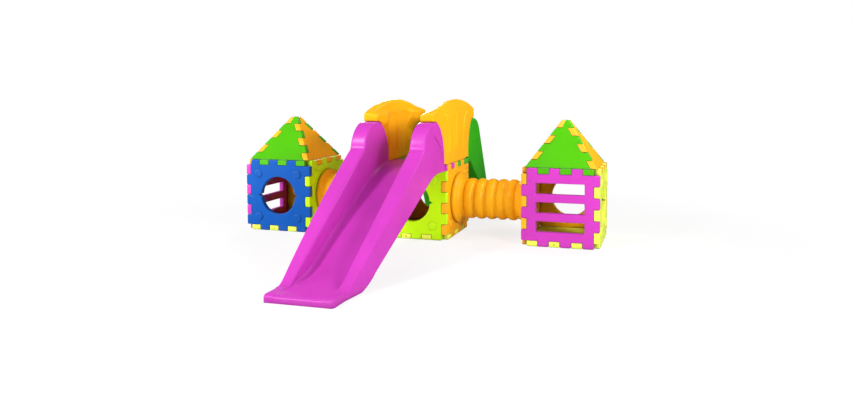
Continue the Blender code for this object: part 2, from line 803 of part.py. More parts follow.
def step_wall_outline():
    """Side wall: hump beside the landing and steep edge behind it; the lower edge bends down to a foot."""
    outline = [(HUMP_SETBACK, DECK_BOTTOM + 0.001)] + hump_back(STEP_HUMP_BACK, STEP_HUMP_RISE, STEP_HUMP_FOOT)
    outline += arc(STEP_HUMP_CENTRE, STEP_HUMP_RADIUS, 90, 90 - math.degrees(STEP_WALL_ANGLE), 6)
    outline += [(STEPS_REACH, STEP_TOE * math.tan(STEP_WALL_ANGLE)), (STEPS_REACH - 0.015, 0)]
    return outline + step_underside(0.001, 0.0)


def step_underside(rise, shift):
    """Lower edge from the ground up to the landing, in two slopes with an eased bend between them."""
    knee = Vector((STEP_UNDER_START + STEP_UNDER_LENGTH,
                   DECK_BOTTOM - STEP_UNDER_LENGTH * math.tan(STEP_UNDER_ANGLE)))
    steep = Vector((math.cos(STEP_WALL_ANGLE), -math.sin(STEP_WALL_ANGLE)))
    gentle = Vector((math.cos(STEP_UNDER_ANGLE), -math.sin(STEP_UNDER_ANGLE)))
    foot = knee.x + knee.y / math.tan(STEP_WALL_ANGLE)
    ease = 0.06
    bend = [knee + steep * ease, knee + (steep - gentle) * 0.22 * ease, knee - gentle * ease]
    points = [(foot - shift / 2, 0.004 if shift else 0.0)]
    points += [(point.x, point.y + shift) for point in bend]
    return points + [(STEP_UNDER_START + shift, DECK_BOTTOM + rise)]


def steps_outline():
    """Landing, treads and risers between the side walls, with a slanting underside."""
    rise = DECK_TOP / STEP_COUNT
    outline = [(HUMP_SETBACK - 0.01, DECK_BOTTOM + 0.01), (HUMP_SETBACK - 0.01, DECK_TOP)]
    for index in range(STEP_COUNT):
        edge = LANDING_LENGTH + index * STEP_DEPTH
        top = DECK_TOP - index * rise
        bottom = top - rise
        outline += [(edge - STEP_NOSE, top), (edge, top - STEP_NOSE), (edge - STEP_NOSE, bottom)]
    last = LANDING_LENGTH + (STEP_COUNT - 1) * STEP_DEPTH - STEP_NOSE
    outline[-1] = (last, 0.004)
    return outline + step_underside(0.01, STEP_UNDER_LIFT)


def step_walls_mesh(name):
    bm = bmesh.new()
    c = RAIL_CHAMFER
    outline = step_wall_outline()
    for side in (-1, 1):
        rings = []
        for x, inset in ((RAIL_INNER, c), (RAIL_INNER + c, 0), (RAIL_OUTER - c, 0), (RAIL_OUTER, c)):
            rings.append(ring(bm, [(side * x, -HALF - y, z) for y, z in outset(outline, -inset)]))
        for first, second in zip(rings, rings[1:]):
            wall(bm, first, second)
        cap(bm, [rings[0]])
        cap(bm, [rings[-1]])
    return finish_mesh(name, bm)


def outset(outline, distance):
    """Moves each side of a closed outline outwards (or inwards, if negative) by a distance."""
    if distance == 0:
        return list(outline)
    points = [Vector(point) for point in outline]
    area = sum(a.x * b.y - b.x * a.y for a, b in zip(points, points[1:] + points[:1]))
    turn = 1 if area > 0 else -1
    moved = []
    for before, point, after in zip(points[-1:] + points[:-1], points, points[1:] + points[:1]):
        first = (point - before).normalized()
        second = (after - point).normalized()
        normal_a = Vector((first.y, -first.x)) * turn
        normal_b = Vector((second.y, -second.x)) * turn
        share = 1 + normal_a.dot(normal_b)
        step = (normal_a + normal_b) * (distance / max(share, 0.4))
        moved.append(tuple(point + step))
    return moved


def add_steps(tower):
    base = add_piece("climbing_steps", deck_mesh("climbing_steps"), DARK_GREEN, tower)
    base.location.z = -HALF
    base.rotation_euler.z = math.pi
    treads = bmesh.new()
    prism(treads, [(-HALF - y, z) for y, z in steps_outline()], -RAIL_INNER - 0.02, RAIL_INNER + 0.02)
    for label, mesh in (
        ("landing", deck_skin_mesh("steps_landing")),
        ("walls", step_walls_mesh("steps_walls")),
        ("treads", finish_mesh("steps_treads", treads)),
    ):
        combine(base, add_tool("steps_" + label, mesh, base), "UNION")
    combine(base, add_tool("steps_pockets", deck_cuts_mesh("steps_pockets"), base), "DIFFERENCE")
    return base


# Guards

def smooth(low, high, value):
    share = min(1.0, max(0.0, (value - low) / (high - low)))
    return share * share * (3 - 2 * share)


def guard_depth(y, z):
    """Thickness of a guard from its outer face, at a place seen from the side."""
    height = z - GUARD_BASE
    arm = smooth(-0.17, 0.0, height)
    arm *= 1 - smooth(GUARD_NOSE_RISE - 0.03, GUARD_NOSE_RISE + 0.015, height)
    arm *= smooth(GUARD_NOSE_ROOT, GUARD_NOSE_ROOT + 0.27, abs(y))
    swell = GUARD_SWELL * smooth(GUARD_SWELL_RISE - 0.015, GUARD_SWELL_RISE + 0.015, height)
    return GUARD_WEB + swell + (GUARD_NOSE - GUARD_WEB - swell) * arm


def guard_crown(y):
    drop = GUARD_CROWN_RADIUS - math.sqrt(GUARD_CROWN_RADIUS ** 2 - y ** 2)
    return GUARD_BASE + GUARD_RISE - drop


def guard_stations():
    """(y, underside, crown, inset) from the front nose to the back nose; the humps shape the undersides."""
    base = DECK_TOP + REST_GAP
    stations = []
    for side, reach, blunt, back, rise, foot in (
        (-1, HALF + GUARD_FRONT_OVERHANG, 0.008, SLIDE_HUMP_BACK, SLIDE_HUMP_RISE, SLIDE_HUMP_FOOT),
        (1, HALF + GUARD_BACK_OVERHANG, 0.03, STEP_HUMP_BACK, STEP_HUMP_RISE, STEP_HUMP_FOOT),
    ):
        hump = hump_back(back, rise, foot, JOINT_GAP)
        under = hump[-1][1]
        half = [(reach, under + blunt, guard_crown(reach) - blunt, 1.0),
                (reach - 0.6 * blunt, under + 0.4 * blunt, guard_crown(reach) - 0.3 * blunt, 0.3),
                (reach - 1.5 * blunt, under, guard_crown(reach - 1.5 * blunt), 0.0)]
        for run, height in hump[::-1]:
            if HALF + run < half[-1][0] - 0.001:
                half.append((HALF + run, height, guard_crown(HALF + run), 0.0))
        waist = half[-1][0]
        half.append((waist - 0.0005, base, guard_crown(waist), 0.0))
        for y in (0.86 * waist, 0.72 * waist, 0.58 * waist, 0.3 * waist):
            half.append((y, base, guard_crown(y), 0.0))
        half = [(side * y, low, high, inset) for y, low, high, inset in half]
        stations += half if side < 0 else [(0.0, base, guard_crown(0.0), 0.0)] + half[::-1]
    return stations


def guard_mesh(name, side):
    """One loft along the arch: flat outer face, shaped inner face."""
    bm = bmesh.new()
    c = GUARD_CHAMFER
    levels = [GUARD_BASE + height for height in (-0.15, -0.06, 0.02, 0.07, 0.10, 0.13)]
    sections = []
    for y, low, high, inset in guard_stations():
        pull = inset * c
        section = [(c + pull, low), (pull, low + c), (pull, high - c), (c + pull, high), (0.04 + pull, high - 0.002)]
        for index in range(len(levels) - 1, -1, -1):
            z = min(levels[index], high - 0.016 - 0.005 * (len(levels) - 1 - index))
            z = max(z, low + c + 0.004 + 0.004 * index)
            section.append((guard_depth(y, z) - pull, z))
        section.append((guard_depth(y, low + c) - pull, low + c))
        section.append((guard_depth(y, low + c) - c - pull, low))
        sections.append([(side * (GUARD_OUTER - depth - GUARD_MIDDLE), y, z) for depth, z in section])
    loft(bm, sections)
    return finish_mesh(name, bm)


def guard_rib_mesh(name, side):
    """Three broad ribs on each face: one straight, two that flare outwards at the top."""
    bm = bmesh.new()
    low = DECK_TOP + 0.12
    high = GUARD_BASE + GUARD_SWELL_RISE
    for face in (-1, 1):
        half = GUARD_NOSE / 2 if face == side else GUARD_WEB - GUARD_NOSE / 2
        for rib in (-1, 0, 1):
            spine = []
            steps = 4 if rib else 2
            for index in range(steps + 1):
                share = index / steps
                flare = GUARD_RIB_FLARE * max(0.0, (share - 0.4) / 0.6) ** 2
                spine.append((rib * (GUARD_RIB_SPACING + flare), low + (high - low) * share))
            sections = []
            for index, (y, z) in enumerate(spine):
                end = index in (0, len(spine) - 1)
                width = GUARD_RIB_WIDTH / 2 * (0.6 if end else 1)
                rise = GUARD_RIB_HEIGHT * (0.4 if end else 1)
                sections.append([
                    (face * (half - 0.01), y - width, z), (face * (half + 0.0005), y - width, z),
                    (face * (half + rise), y - 0.45 * width, z), (face * (half + rise), y + 0.45 * width, z),
                    (face * (half + 0.0005), y + width, z), (face * (half - 0.01), y + width, z),
                ])
            loft(bm, sections)
    return finish_mesh(name, bm)


def guard_foot_mesh(name, side):
    """Lip that steps down onto the side wall."""
    bm = bmesh.new()
    low, high = sorted((side * (INNER - GUARD_MIDDLE), side * (GUARD_OUTER - GUARD_MIDDLE)))
    reach = INNER - JOINT_GAP
    box(bm, (low, -reach, PANEL_SIZE + REST_GAP), (high, reach, DECK_TOP + 0.03))
    return finish_mesh(name, bm)


def guard_tongues_mesh(name, side):
    """Two tongues that drop into the landings' sockets."""
    bm = bmesh.new()
    for end in (-1, 1):
        x, y = tongue_place(-end * side)
        x = side * (abs(x) - GUARD_MIDDLE)
        y *= -end
        box(bm, (x - TONGUE_THICKNESS / 2, y - TONGUE_LENGTH / 2, PANEL_SIZE - TONGUE_DEPTH),
            (x + TONGUE_THICKNESS / 2, y + TONGUE_LENGTH / 2, DECK_TOP))
    return finish_mesh(name, bm)


def add_guard(tower, label, side):
    name = f"guard_{label}"
    piece = add_piece(name, guard_mesh(name, side), ORANGE, tower)
    piece.location = (side * GUARD_MIDDLE, 0, -HALF)
    combine(piece, add_tool(name + "_foot", guard_foot_mesh(name + "_foot", side), piece), "UNION")
    tongues = add_tool(name + "_tongues", guard_tongues_mesh(name + "_tongues", side), piece)
    combine(piece, tongues, "UNION")
    combine(piece, add_tool(name + "_ribs", guard_rib_mesh(name + "_ribs", side), piece), "UNION")


# The set

left_house = add_group("left_house", (-CUBE_SPACING, ROW_Y, HALF))
tower = add_group("tower", (0, ROW_Y, HALF))
right_house = add_group("right_house", (CUBE_SPACING, ROW_Y, HALF))

for cube, prefix, walls in (
    (left_house, "left_house", {
        "front": ("window", BLUE), "right": ("window", LIME), "back": ("plain", ORANGE),
        "left": ("ladder", MAGENTA), "floor": ("plain", LEMON)}),
    (tower, "tower", {
        "front": ("window", LIME), "right": ("window", ORANGE), "back": ("window", ORANGE),
        "left": ("window", ORANGE), "floor": ("plain", LEMON)}),
    (right_house, "right_house", {
        "front": ("ladder", MAGENTA), "right": ("window", LEMON), "back": ("window", ORANGE),
        "left": ("window", ORANGE), "floor": ("plain", LEMON)}),
):
    for side, (kind, colour) in walls.items():
        add_panel(cube, prefix, side, kind, colour)

add_roof(left_house, "left_house", (GREEN, ORANGE, GREEN, ORANGE))
add_roof(right_house, "right_house", (GREEN, ORANGE, GREEN, ORANGE))

add_slide(tower)
add_steps(tower)
add_guard(tower, "left", -1)
add_guard(tower, "right", 1)

add_tunnel("left_tunnel", -CUBE_SPACING / 2)
add_tunnel("right_tunnel", CUBE_SPACING / 2)
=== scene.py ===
import math
import bpy
import bmesh
from mathutils import Matrix, Vector


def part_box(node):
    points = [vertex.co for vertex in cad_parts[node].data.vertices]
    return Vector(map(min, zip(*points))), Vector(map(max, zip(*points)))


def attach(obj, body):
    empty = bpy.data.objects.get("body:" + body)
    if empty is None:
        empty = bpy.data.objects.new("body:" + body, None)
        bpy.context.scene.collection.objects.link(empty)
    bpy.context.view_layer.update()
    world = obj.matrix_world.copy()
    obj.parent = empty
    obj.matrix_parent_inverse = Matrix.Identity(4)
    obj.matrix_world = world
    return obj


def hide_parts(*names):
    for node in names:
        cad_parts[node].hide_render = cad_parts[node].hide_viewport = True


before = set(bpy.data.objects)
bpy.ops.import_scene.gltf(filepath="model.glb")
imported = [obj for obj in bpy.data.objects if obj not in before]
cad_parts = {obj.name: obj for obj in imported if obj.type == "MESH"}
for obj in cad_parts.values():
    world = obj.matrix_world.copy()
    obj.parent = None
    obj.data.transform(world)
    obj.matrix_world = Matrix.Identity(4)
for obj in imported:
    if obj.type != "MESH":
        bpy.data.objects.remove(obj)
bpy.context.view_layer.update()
print("frame loaded", len(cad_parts), "nodes")


# What every piece shares, in metres: the cubes, the deck and the gaps

playset = {
    "panel": 0.84, "wall": 0.06, "gap": 0.002, "rest": 0.0004, "bite": 0.001,
    "spacing": 1.68, "deckTop": 0.852, "deckBottom": 0.78,
    "rowY": (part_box("tower_floor_panel")[0].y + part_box("tower_floor_panel")[1].y) / 2,
}
half = playset["panel"] / 2
inner = half - playset["wall"]
gap = playset["gap"]  # between teeth; rest is the gap under a piece that lies on another
bite = playset["bite"]  # how far one shell of a piece reaches into the next
deckTop = playset["deckTop"]
deckBottom = playset["deckBottom"]
rowY = playset["rowY"]
rightAngle = math.pi / 2


def onScreen(*levels):  # red, green and blue as a screen shows them, turned into linear light
    shares = (level / 255 for level in levels)
    linear = (share / 12.92 if share <= 0.04045 else ((share + 0.055) / 1.055) ** 2.4 for share in shares)
    return (*linear, 1.0)


def tinted(colour, share, lift=0.0):
    return (*(min(1.0, level * share + lift) for level in colour[:3]), 1.0)


neutral = (1.0, 1.0, 1.0)
white = (*neutral, 1.0)
# the dark vent colour is painted shade for the inside of the vent holes
colours = {name: onScreen(*levels) for name, levels in {
    "magenta": (197, 58, 182), "blue": (0, 83, 172), "green": (75, 176, 2), "lime": (190, 248, 2),
    "lemon": (236, 254, 84), "orange": (250, 179, 14), "darkGreen": (46, 170, 6), "ventHoleShade": (60, 44, 30),
}.items()}


def clamp(value):
    return min(1.0, max(0.0, value))


def newObject(name, data):
    made = bpy.data.objects.new(name, data)
    bpy.context.scene.collection.objects.link(made)
    return made


# Node maths

class Wire:  # a socket that takes part in expressions
    def __init__(self, book, socket):
        self.book = book
        self.socket = socket

    def __add__(self, other):
        return self.book.maths("ADD", self, other)

    def __radd__(self, other):
        return self.book.maths("ADD", other, self)

    def __sub__(self, other):
        return self.book.maths("SUBTRACT", self, other)

    def __rsub__(self, other):
        return self.book.maths("SUBTRACT", other, self)

    def __mul__(self, other):
        return self.book.maths("MULTIPLY", self, other)

    def __rmul__(self, other):
        return self.book.maths("MULTIPLY", other, self)

    def __truediv__(self, other):
        return self.book.maths("DIVIDE", self, other)

    def __rtruediv__(self, other):
        return self.book.maths("DIVIDE", other, self)

    def __pow__(self, other):
        return self.book.maths("POWER", self, other)

    def __rpow__(self, other):
        return self.book.maths("POWER", other, self)


class Book:  # a node tree and what is written into it
    def __init__(self, tree):
        self.tree = tree

    def add(self, kind, settings=None, sockets=None, output=0):
        node = self.tree.nodes.new(kind)
        for key, value in (settings or {}).items():
            setattr(node, key, value)
        for key, value in (sockets or {}).items():
            if isinstance(value, Wire):
                self.tree.links.new(value.socket, node.inputs[key])
            else:
                node.inputs[key].default_value = value
        return Wire(self, node.outputs[output]) if node.outputs else None

    def maths(self, operation, *values):
        return self.add("ShaderNodeMath", {"operation": operation}, dict(enumerate(values)))

    def axis(self, vector, letter):
        return self.add("ShaderNodeSeparateXYZ", None, {0: vector}, letter)

    def blend(self, share, first, second):
        return self.add("ShaderNodeMix", {"data_type": "RGBA"}, {0: share, 6: first, 7: second}, 2)

    def step(self, value, low, high):
        return self.add("ShaderNodeMapRange", {"interpolation_type": "SMOOTHSTEP"}, {
            "Value": value, "From Min": low, "From Max": high})


def emptyBook(owner):  # the nodes of a material or of the world
    owner.use_nodes = True
    owner.node_tree.nodes.clear()
    return Book(owner.node_tree)


mouldedPlastic = {  # satin polyethylene straight from the mould, a little used
    "roughness": 0.34, "specular": 0.12, "coat": 0.08, "coatRoughness": 0.2,
    "seedShift": (3.7, 1.9, 5.3), "noiseRoughness": 0.55,
    "waveSize": 2.2, "waveHeight": 0.0035, "waveShade": 0.099, "waveRange": (0.30, 0.72),
    "mottleSize": 34.0, "mottleShare": 0.28, "mottleGloss": 0.10, "mottleTint": (1.05, 0.012),
    "peelSize": 190.0, "peelHeight": 0.00012, "peelMottle": 0.8,
    "scuffSize": 26.0, "scuffTurn": (0.5, 0.3, 0.9), "scuffStretch": (1.0, 9.0, 2.0),
    "scuffRange": (0.64, 0.74), "scuffShare": 0.12, "scuffGloss": 0.16,
    "wornSize": 3.1, "wornRange": (0.46, 0.66),
    "rimRange": (0.515, 0.58), "rimShare": 0.16, "chalkTint": (0.55, 0.32),
    "dustTop": 0.10, "dustSize": 9.0, "dustRange": (0.35, 0.75), "dustShare": 0.10, "dustGloss": 0.22,
    "dust": (0.30, 0.25, 0.18, 1.0),
    # painted shade: ambient occlusion darkens the colour in creases, joints and under overhanging parts
    "creaseShadeReach": 0.05, "creaseShadeRange": (0.24, 0.92), "creaseShadeShare": 0.75, "creaseShadeLevel": 0.30,
}


def mouldedFinish(name, colourName, seed):
    m = mouldedPlastic
    colour = colours[colourName]
    material = bpy.data.materials.new(name)
    book = emptyBook(material)
    place = book.add("ShaderNodeTexCoord", output="Object")
    shifted = book.add("ShaderNodeVectorMath", {"operation": "ADD"}, {
        0: place, 1: tuple(seed * share for share in m["seedShift"])})

    def noise(size, detail, source=shifted):
        return book.add("ShaderNodeTexNoise", {"noise_dimensions": "3D"}, {
            "Vector": source, "Scale": size, "Detail": detail, "Roughness": m["noiseRoughness"]})

    broad = noise(m["waveSize"], 2.0)
    mottle = noise(m["mottleSize"], 3.0)
    peel = noise(m["peelSize"], 2.0)
    tiltX, tiltY, tiltZ = m["scuffTurn"]
    stretched = book.add("ShaderNodeMapping", {"vector_type": "TEXTURE"}, {
        "Vector": shifted, "Rotation": (tiltX, tiltY, tiltZ + seed), "Scale": m["scuffStretch"]})
    scratch = book.step(noise(m["scuffSize"], 5.0, stretched), *m["scuffRange"])
    scuff = scratch * book.step(noise(m["wornSize"], 3.0), *m["wornRange"])
    rim = book.step(book.add("ShaderNodeNewGeometry", output="Pointiness"), *m["rimRange"])
    low = 1.0 - book.step(book.axis(place, "Z"), 0.0, m["dustTop"])
    dust = low * book.step(noise(m["dustSize"], 4.0), *m["dustRange"])
    # painted shade: where ambient occlusion finds nearby geometry (creases, joints, under parts) the colour
    # is darkened
    clear = book.add("ShaderNodeAmbientOcclusion", {"samples": 6}, {"Distance": m["creaseShadeReach"]}, "AO")
    creaseShade = 1.0 - book.step(clear, *m["creaseShadeRange"])

    chalk = tinted(colour, *m["chalkTint"])
    tone = book.blend(book.step(broad, *m["waveRange"]), tinted(colour, 1 - m["waveShade"]), colour)
    tone = book.blend(mottle * m["mottleShare"], tone, tinted(colour, *m["mottleTint"]))
    tone = book.blend(rim * m["rimShare"], tone, chalk)
    tone = book.blend(scuff * m["scuffShare"], tone, chalk)
    tone = book.blend(dust * m["dustShare"], tone, m["dust"])
    # the painted crease shade is blended in last
    tone = book.blend(creaseShade * m["creaseShadeShare"], tone, tinted(colour, m["creaseShadeLevel"]))
    gloss = m["roughness"] + (mottle - 0.5) * m["mottleGloss"] + scuff * m["scuffGloss"]
    gloss += dust * m["dustGloss"]
    waves = book.add("ShaderNodeBump", None, {"Strength": 1.0, "Distance": m["waveHeight"], "Height": broad})
    skinHeight = peel + mottle * m["peelMottle"]
    grain = book.add("ShaderNodeBump", None, {
        "Strength": 1.0, "Distance": m["peelHeight"], "Height": skinHeight, "Normal": waves})
    shader = book.add("ShaderNodeBsdfPrincipled", None, {
        "Base Color": tone, "Roughness": gloss, "Normal": grain, "IOR": 1.5,
        "Specular IOR Level": m["specular"], "Coat Weight": m["coat"], "Coat Roughness": m["coatRoughness"]})
    book.add("ShaderNodeOutputMaterial", None, {"Surface": shader})
    return material


# painted shade: a dark finish for the middle of each vent, in place of the shade inside the hole
ventHoleShadeFinish = mouldedFinish("ventHoleShade", "ventHoleShade", 90.0)


# Mesh helpers: a loop has the material on its left

leastTurn = 0.3  # in radians, a flatter corner isn't rounded
cutShare = 0.48  # the most of a side that one rounded corner takes
mitreFloor = 0.7  # keeps a sharp corner from moving too far


def arc(middle, radius, start, end, steps):
    angles = (math.radians(start + (end - start) * index / steps) for index in range(steps + 1))
    return [(middle[0] + radius * math.cos(angle), middle[1] + radius * math.sin(angle)) for angle in angles]


def circle(middle, radius, sides):
    return arc(middle, radius, 0, 360, sides)[:-1]


def rectangle(left, low, right, high):
    return [(left, low), (right, low), (right, high), (left, high)]


def bend(start, corner, end, t):
    return start * (1 - t) ** 2 + corner * 2 * t * (1 - t) + end * t ** 2


def cornerArc(first, second, corner, steps):  # the points between two ends of a quarter bend
    a, b, c = Vector(first), Vector(second), Vector(corner)
    turns = [rightAngle * (k / steps) for k in range(1, steps)]
    return [tuple(c + (a - c) * (1 - math.sin(turn)) + (b - c) * (1 - math.cos(turn))) for turn in turns]


def wind(points, anticlockwise):
    area = sum(a[0] * b[1] - b[0] * a[1] for a, b in zip(points, points[1:] + points[:1]))
    return list(points) if (area > 0) == anticlockwise else list(points)[::-1]


def corners(points):  # each point of a loop, between its neighbours
    vectors = [Vector(point) for point in points]
    return zip(vectors[-1:] + vectors[:-1], vectors, vectors[1:] + vectors[:1])


def eased(points, bulge, hollow, steps=4):  # rounds a loop: bulge is for its outer corners
    result = []
    for before, point, after in corners(points):
        intoCorner, outOfCorner = point - before, after - point
        a, b = intoCorner.length, outOfCorner.length
        if min(a, b) < 1e-7:
            continue
        intoCorner /= a
        outOfCorner /= b
        turn = intoCorner.x * outOfCorner.y - intoCorner.y * outOfCorner.x
        angle = math.acos(max(-1.0, min(1.0, intoCorner.dot(outOfCorner))))
        radius = bulge if turn > 0 else hollow
        if angle < leastTurn or radius <= 0:
            result.append(tuple(point))
            continue
        cut = min(radius * math.tan(angle / 2), cutShare * a, cutShare * b)
        start, end = point - intoCorner * cut, point + outOfCorner * cut
        result += [tuple(bend(start, point, end, k / steps)) for k in range(steps + 1)]
    return result


def insetLoop(points, amount):  # moves a loop into the material
    moved = []
    for before, point, after in corners(points):
        first = (point - before).normalized()
        second = (after - point).normalized()
        normal = Vector((-first.y - second.y, first.x + second.x))
        length = normal.length
        if length < 1e-6:
            moved.append(tuple(point))
        else:
            moved.append(tuple(point + normal * (2 * amount / max(length * length, mitreFloor))))
    return moved


def skin(bm, sections):  # joins rings of points, each to the next
    rings = [[bm.verts.new(point) for point in section] for section in sections]
    for first, second in zip(rings, rings[1:]):
        for index in range(len(first)):
            after = (index + 1) % len(first)
            bm.faces.new((first[index], first[after], second[after], second[index])).smooth = True
    return rings


def fill(bm, loops):
    edges = []
    for loop in loops:
        for index, vert in enumerate(loop):
            after = loop[(index + 1) % len(loop)]
            edges.append(bm.edges.get((vert, after)) or bm.edges.new((vert, after)))
    made = bmesh.ops.triangle_fill(bm, use_beauty=True, use_dissolve=False, edges=edges)
    for item in made["geom"]:
        if isinstance(item, bmesh.types.BMFace):
            item.smooth = False


def slab(bm, loops, thick, place, frontRound, backRound, domes=(), steps=4):
    # a plate with rounded edges; place(u, v, depth) gives each point, domes are rings that stand on the front
    turns = [rightAngle * k / steps for k in range(steps + 1)]
    layers = [(frontRound * (1 - math.sin(turn)), frontRound * (1 - math.cos(turn))) for turn in turns]
    layers += [(backRound * (1 - math.cos(turn)), thick - backRound * (1 - math.sin(turn))) for turn in turns]
    fronts, backs = [], []
    for loop in loops:
        outlines = [(insetLoop(loop, inset) if inset > 1e-9 else loop, depth) for inset, depth in layers]
        rings = skin(bm, [[place(u, v, depth) for u, v in outline] for outline, depth in outlines])
        fronts.append(rings[0])
        backs.append(rings[-1])
    for profile, middle, sides in domes:
        rings = skin(bm, [[place(u, v, -rise) for u, v in circle(middle, radius, sides)]
                          for radius, rise in profile])
        bm.faces.new(rings[-1]).smooth = True
        fronts.append(rings[0])
    fill(bm, fronts)
    fill(bm, backs)


def loft(bm, sections):
    rings = skin(bm, sections)
    fill(bm, [rings[0]])
    fill(bm, [rings[-1]])


def finishPiece(name, bm, material, node):
    bmesh.ops.recalc_face_normals(bm, faces=bm.faces)
    mesh = bpy.data.meshes.new(name)
    bm.to_mesh(mesh)
    bm.free()
    mesh.materials.append(material)
    mesh.materials.append(ventHoleShadeFinish)
    piece = newObject(name, mesh)
    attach(piece, "root")
    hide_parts(node)


vents = {  # small moulding vents: a ring-shaped bead, its shallow middle painted dark as the shade inside the vent hole
    "radius": 0.0125, "sides": 20,  # the profile gives shares of the radius, and depths
    "profile": ((1.0, 0.002), (1.0, -0.0004), (0.86, -0.0012), (0.66, -0.001), (0.56, -0.0002)),
}


# draws the vent's bead, and a flat middle face that carries the painted vent-hole shade
def ventBeadWithShade(bm, place):
    rings = skin(bm, [[place(u, v, depth) for u, v in circle((0, 0), vents["radius"] * share, vents["sides"])]
                      for share, depth in vents["profile"]])
    bm.faces.new(rings[0])
    # the middle face takes the painted vent-hole shade
    bm.faces.new(rings[-1]).material_index = 1


# Cube walls

wallPanels = {
    "teeth": 3, "toothTip": 0.015, "toothRoot": 0.006, "edge": 0.009, "backEdge": 0.006,
    "holeRadius": 0.222, "holeSides": 96,
    "notchDepth": 0.034, "notchHeight": 0.034, "notchTip": (0.005, 0.003),
    "slotCount": 3, "slotWidth": 0.52, "slotHeight": 0.116, "slotPitch": 0.204, "slotRound": 0.012,
    "padReach": 0.362, "padSides": 40,
    "padProfile": ((0.050, 0.0), (0.0492, 0.0035), (0.0465, 0.0078), (0.042, 0.0102), (0.034, 0.011),
                   (0.022, 0.0106), (0.008, 0.0103)),
}
toothPitch = inner / wallPanels["teeth"]


def toothSpan(index):
    start = -inner + 2 * index * toothPitch
    lead = gap if index == 0 else gap / 2
    return start + lead, start + toothPitch - gap / 2


def panelOutline():
    core = inner - gap
    edge = []
    for index in range(wallPanels["teeth"]):
        low, high = toothSpan(index)
        if index > 0:
            edge.append((low, core))
        edge += [(low, half), (high, half), (high, core)]
    outline = []
    for quarter in range(4):
        turn = Matrix.Rotation(-quarter * rightAngle, 2)
        outline += [tuple(turn @ Vector(point)) for point in edge]
    return eased(wind(outline, True), wallPanels["toothTip"], wallPanels["toothRoot"])


def windowOutline():  # round, with a pointed notch on either side
    w = wallPanels
    radius = w["holeRadius"]
    reach = radius + w["notchDepth"]
    back, blunt = w["notchTip"]
    halfNotch = math.degrees(math.asin(w["notchHeight"] / 2 / radius))
    points = []
    for side, sign in ((0, -1), (180, 1)):
        points += arc((0, 0), radius, side + halfNotch, side + 180 - halfNotch, w["holeSides"] // 2)
        tip = ((reach - back, -blunt), (reach, 0), (reach - back, blunt))
        points += [(sign * x, sign * y) for x, y in tip]
    return wind(points, False)


def slotOutlines():
    w = wallPanels
    slots = []
    for index in range(w["slotCount"]):
        middle = (index - (w["slotCount"] - 1) / 2) * w["slotPitch"]
        a, b = w["slotWidth"] / 2, w["slotHeight"] / 2
        slots.append(eased(wind(rectangle(-a, middle - b, a, middle + b), False), 0, w["slotRound"]))
    return slots


sideAxes = {
    "front": ((1, 0, 0), (0, 0, 1)), "right": ((0, 1, 0), (0, 0, 1)), "back": ((-1, 0, 0), (0, 0, 1)),
    "left": ((0, -1, 0), (0, 0, 1)), "floor": ((1, 0, 0), (0, -1, 0)),
}


def onSide(centre, side):
    across, up = (Vector(axis) for axis in sideAxes[side])
    outward = across.cross(up)
    return lambda u, v, d: centre + across * u + up * v + outward * (half - d)


def makePanel(prefix, cubeX, side, kind, colourName, seed):
    w = wallPanels
    node = f"{prefix}_{side}_panel"
    place = onSide(Vector((cubeX, rowY, half)), side)
    bm = bmesh.new()
    loops = [panelOutline()]
    domes = []
    if kind == "window":
        loops.append(windowOutline())
        pad = w["padReach"] / math.sqrt(2)
        for quarter in range(4):
            middle = Matrix.Rotation(quarter * rightAngle, 2) @ Vector((pad, pad))
            domes.append((w["padProfile"], tuple(middle), w["padSides"]))
    if kind == "ladder":
        loops += slotOutlines()
    slab(bm, loops, playset["wall"], place, w["edge"], w["backEdge"], domes)
    if side == "floor":  # a vent on the middle tooth of the front edge
        low, high = toothSpan(1)
        across = (low + high) / 2
        ventBeadWithShade(bm, lambda u, v, d: place(across + u, half - d, playset["wall"] / 2 + v))
    finishPiece(node.replace("_panel", "_wall"), bm, mouldedFinish(node, colourName, seed), node)


cubes = (
    ("left_house", -playset["spacing"], {
        "front": ("window", "blue"), "right": ("window", "lime"), "back": ("plain", "orange"),
        "left": ("ladder", "magenta"), "floor": ("plain", "lemon")}),
    ("tower", 0.0, {
        "front": ("window", "lime"), "right": ("window", "orange"), "back": ("window", "orange"),
        "left": ("window", "orange"), "floor": ("plain", "lemon")}),
    ("right_house", playset["spacing"], {
        "front": ("ladder", "magenta"), "right": ("window", "lemon"), "back": ("window", "orange"),
        "left": ("window", "orange"), "floor": ("plain", "lemon")}),
)
seed = 0.0
for prefix, cubeX, walls in cubes:
    for side, (kind, colourName) in walls.items():
        seed += 1.0
        makePanel(prefix, cubeX, side, kind, colourName, seed)
print("walls made")


# Roofs

roofs = {
    "height": 0.497, "inset": 0.03, "topWidth": 0.084, "wall": 0.054, "tip": 0.004,
    "edge": 0.008, "backEdge": 0.004, "fingerTip": 0.011, "fingerRoot": 0.005,
    "toothDrop": 0.0005, "toothEdge": 0.006, "toothBackEdge": 0.004,
    "neckDepth": 0.032, "neckThick": 0.026, "neckDown": 0.02, "neckUp": 0.012, "neckJoin": 0.01,
}
roofFoot = half - roofs["inset"]
roofSlope = math.atan2(roofs["height"], roofFoot - roofs["topWidth"] / 2)
roofDepth = roofs["wall"] / math.sin(roofSlope)


def roofReach(height):
    return roofFoot + (roofs["topWidth"] / 2 - roofFoot) * height / roofs["height"]


def roofInnerReach(height):
    return max(roofReach(height) - roofDepth, gap / 2)


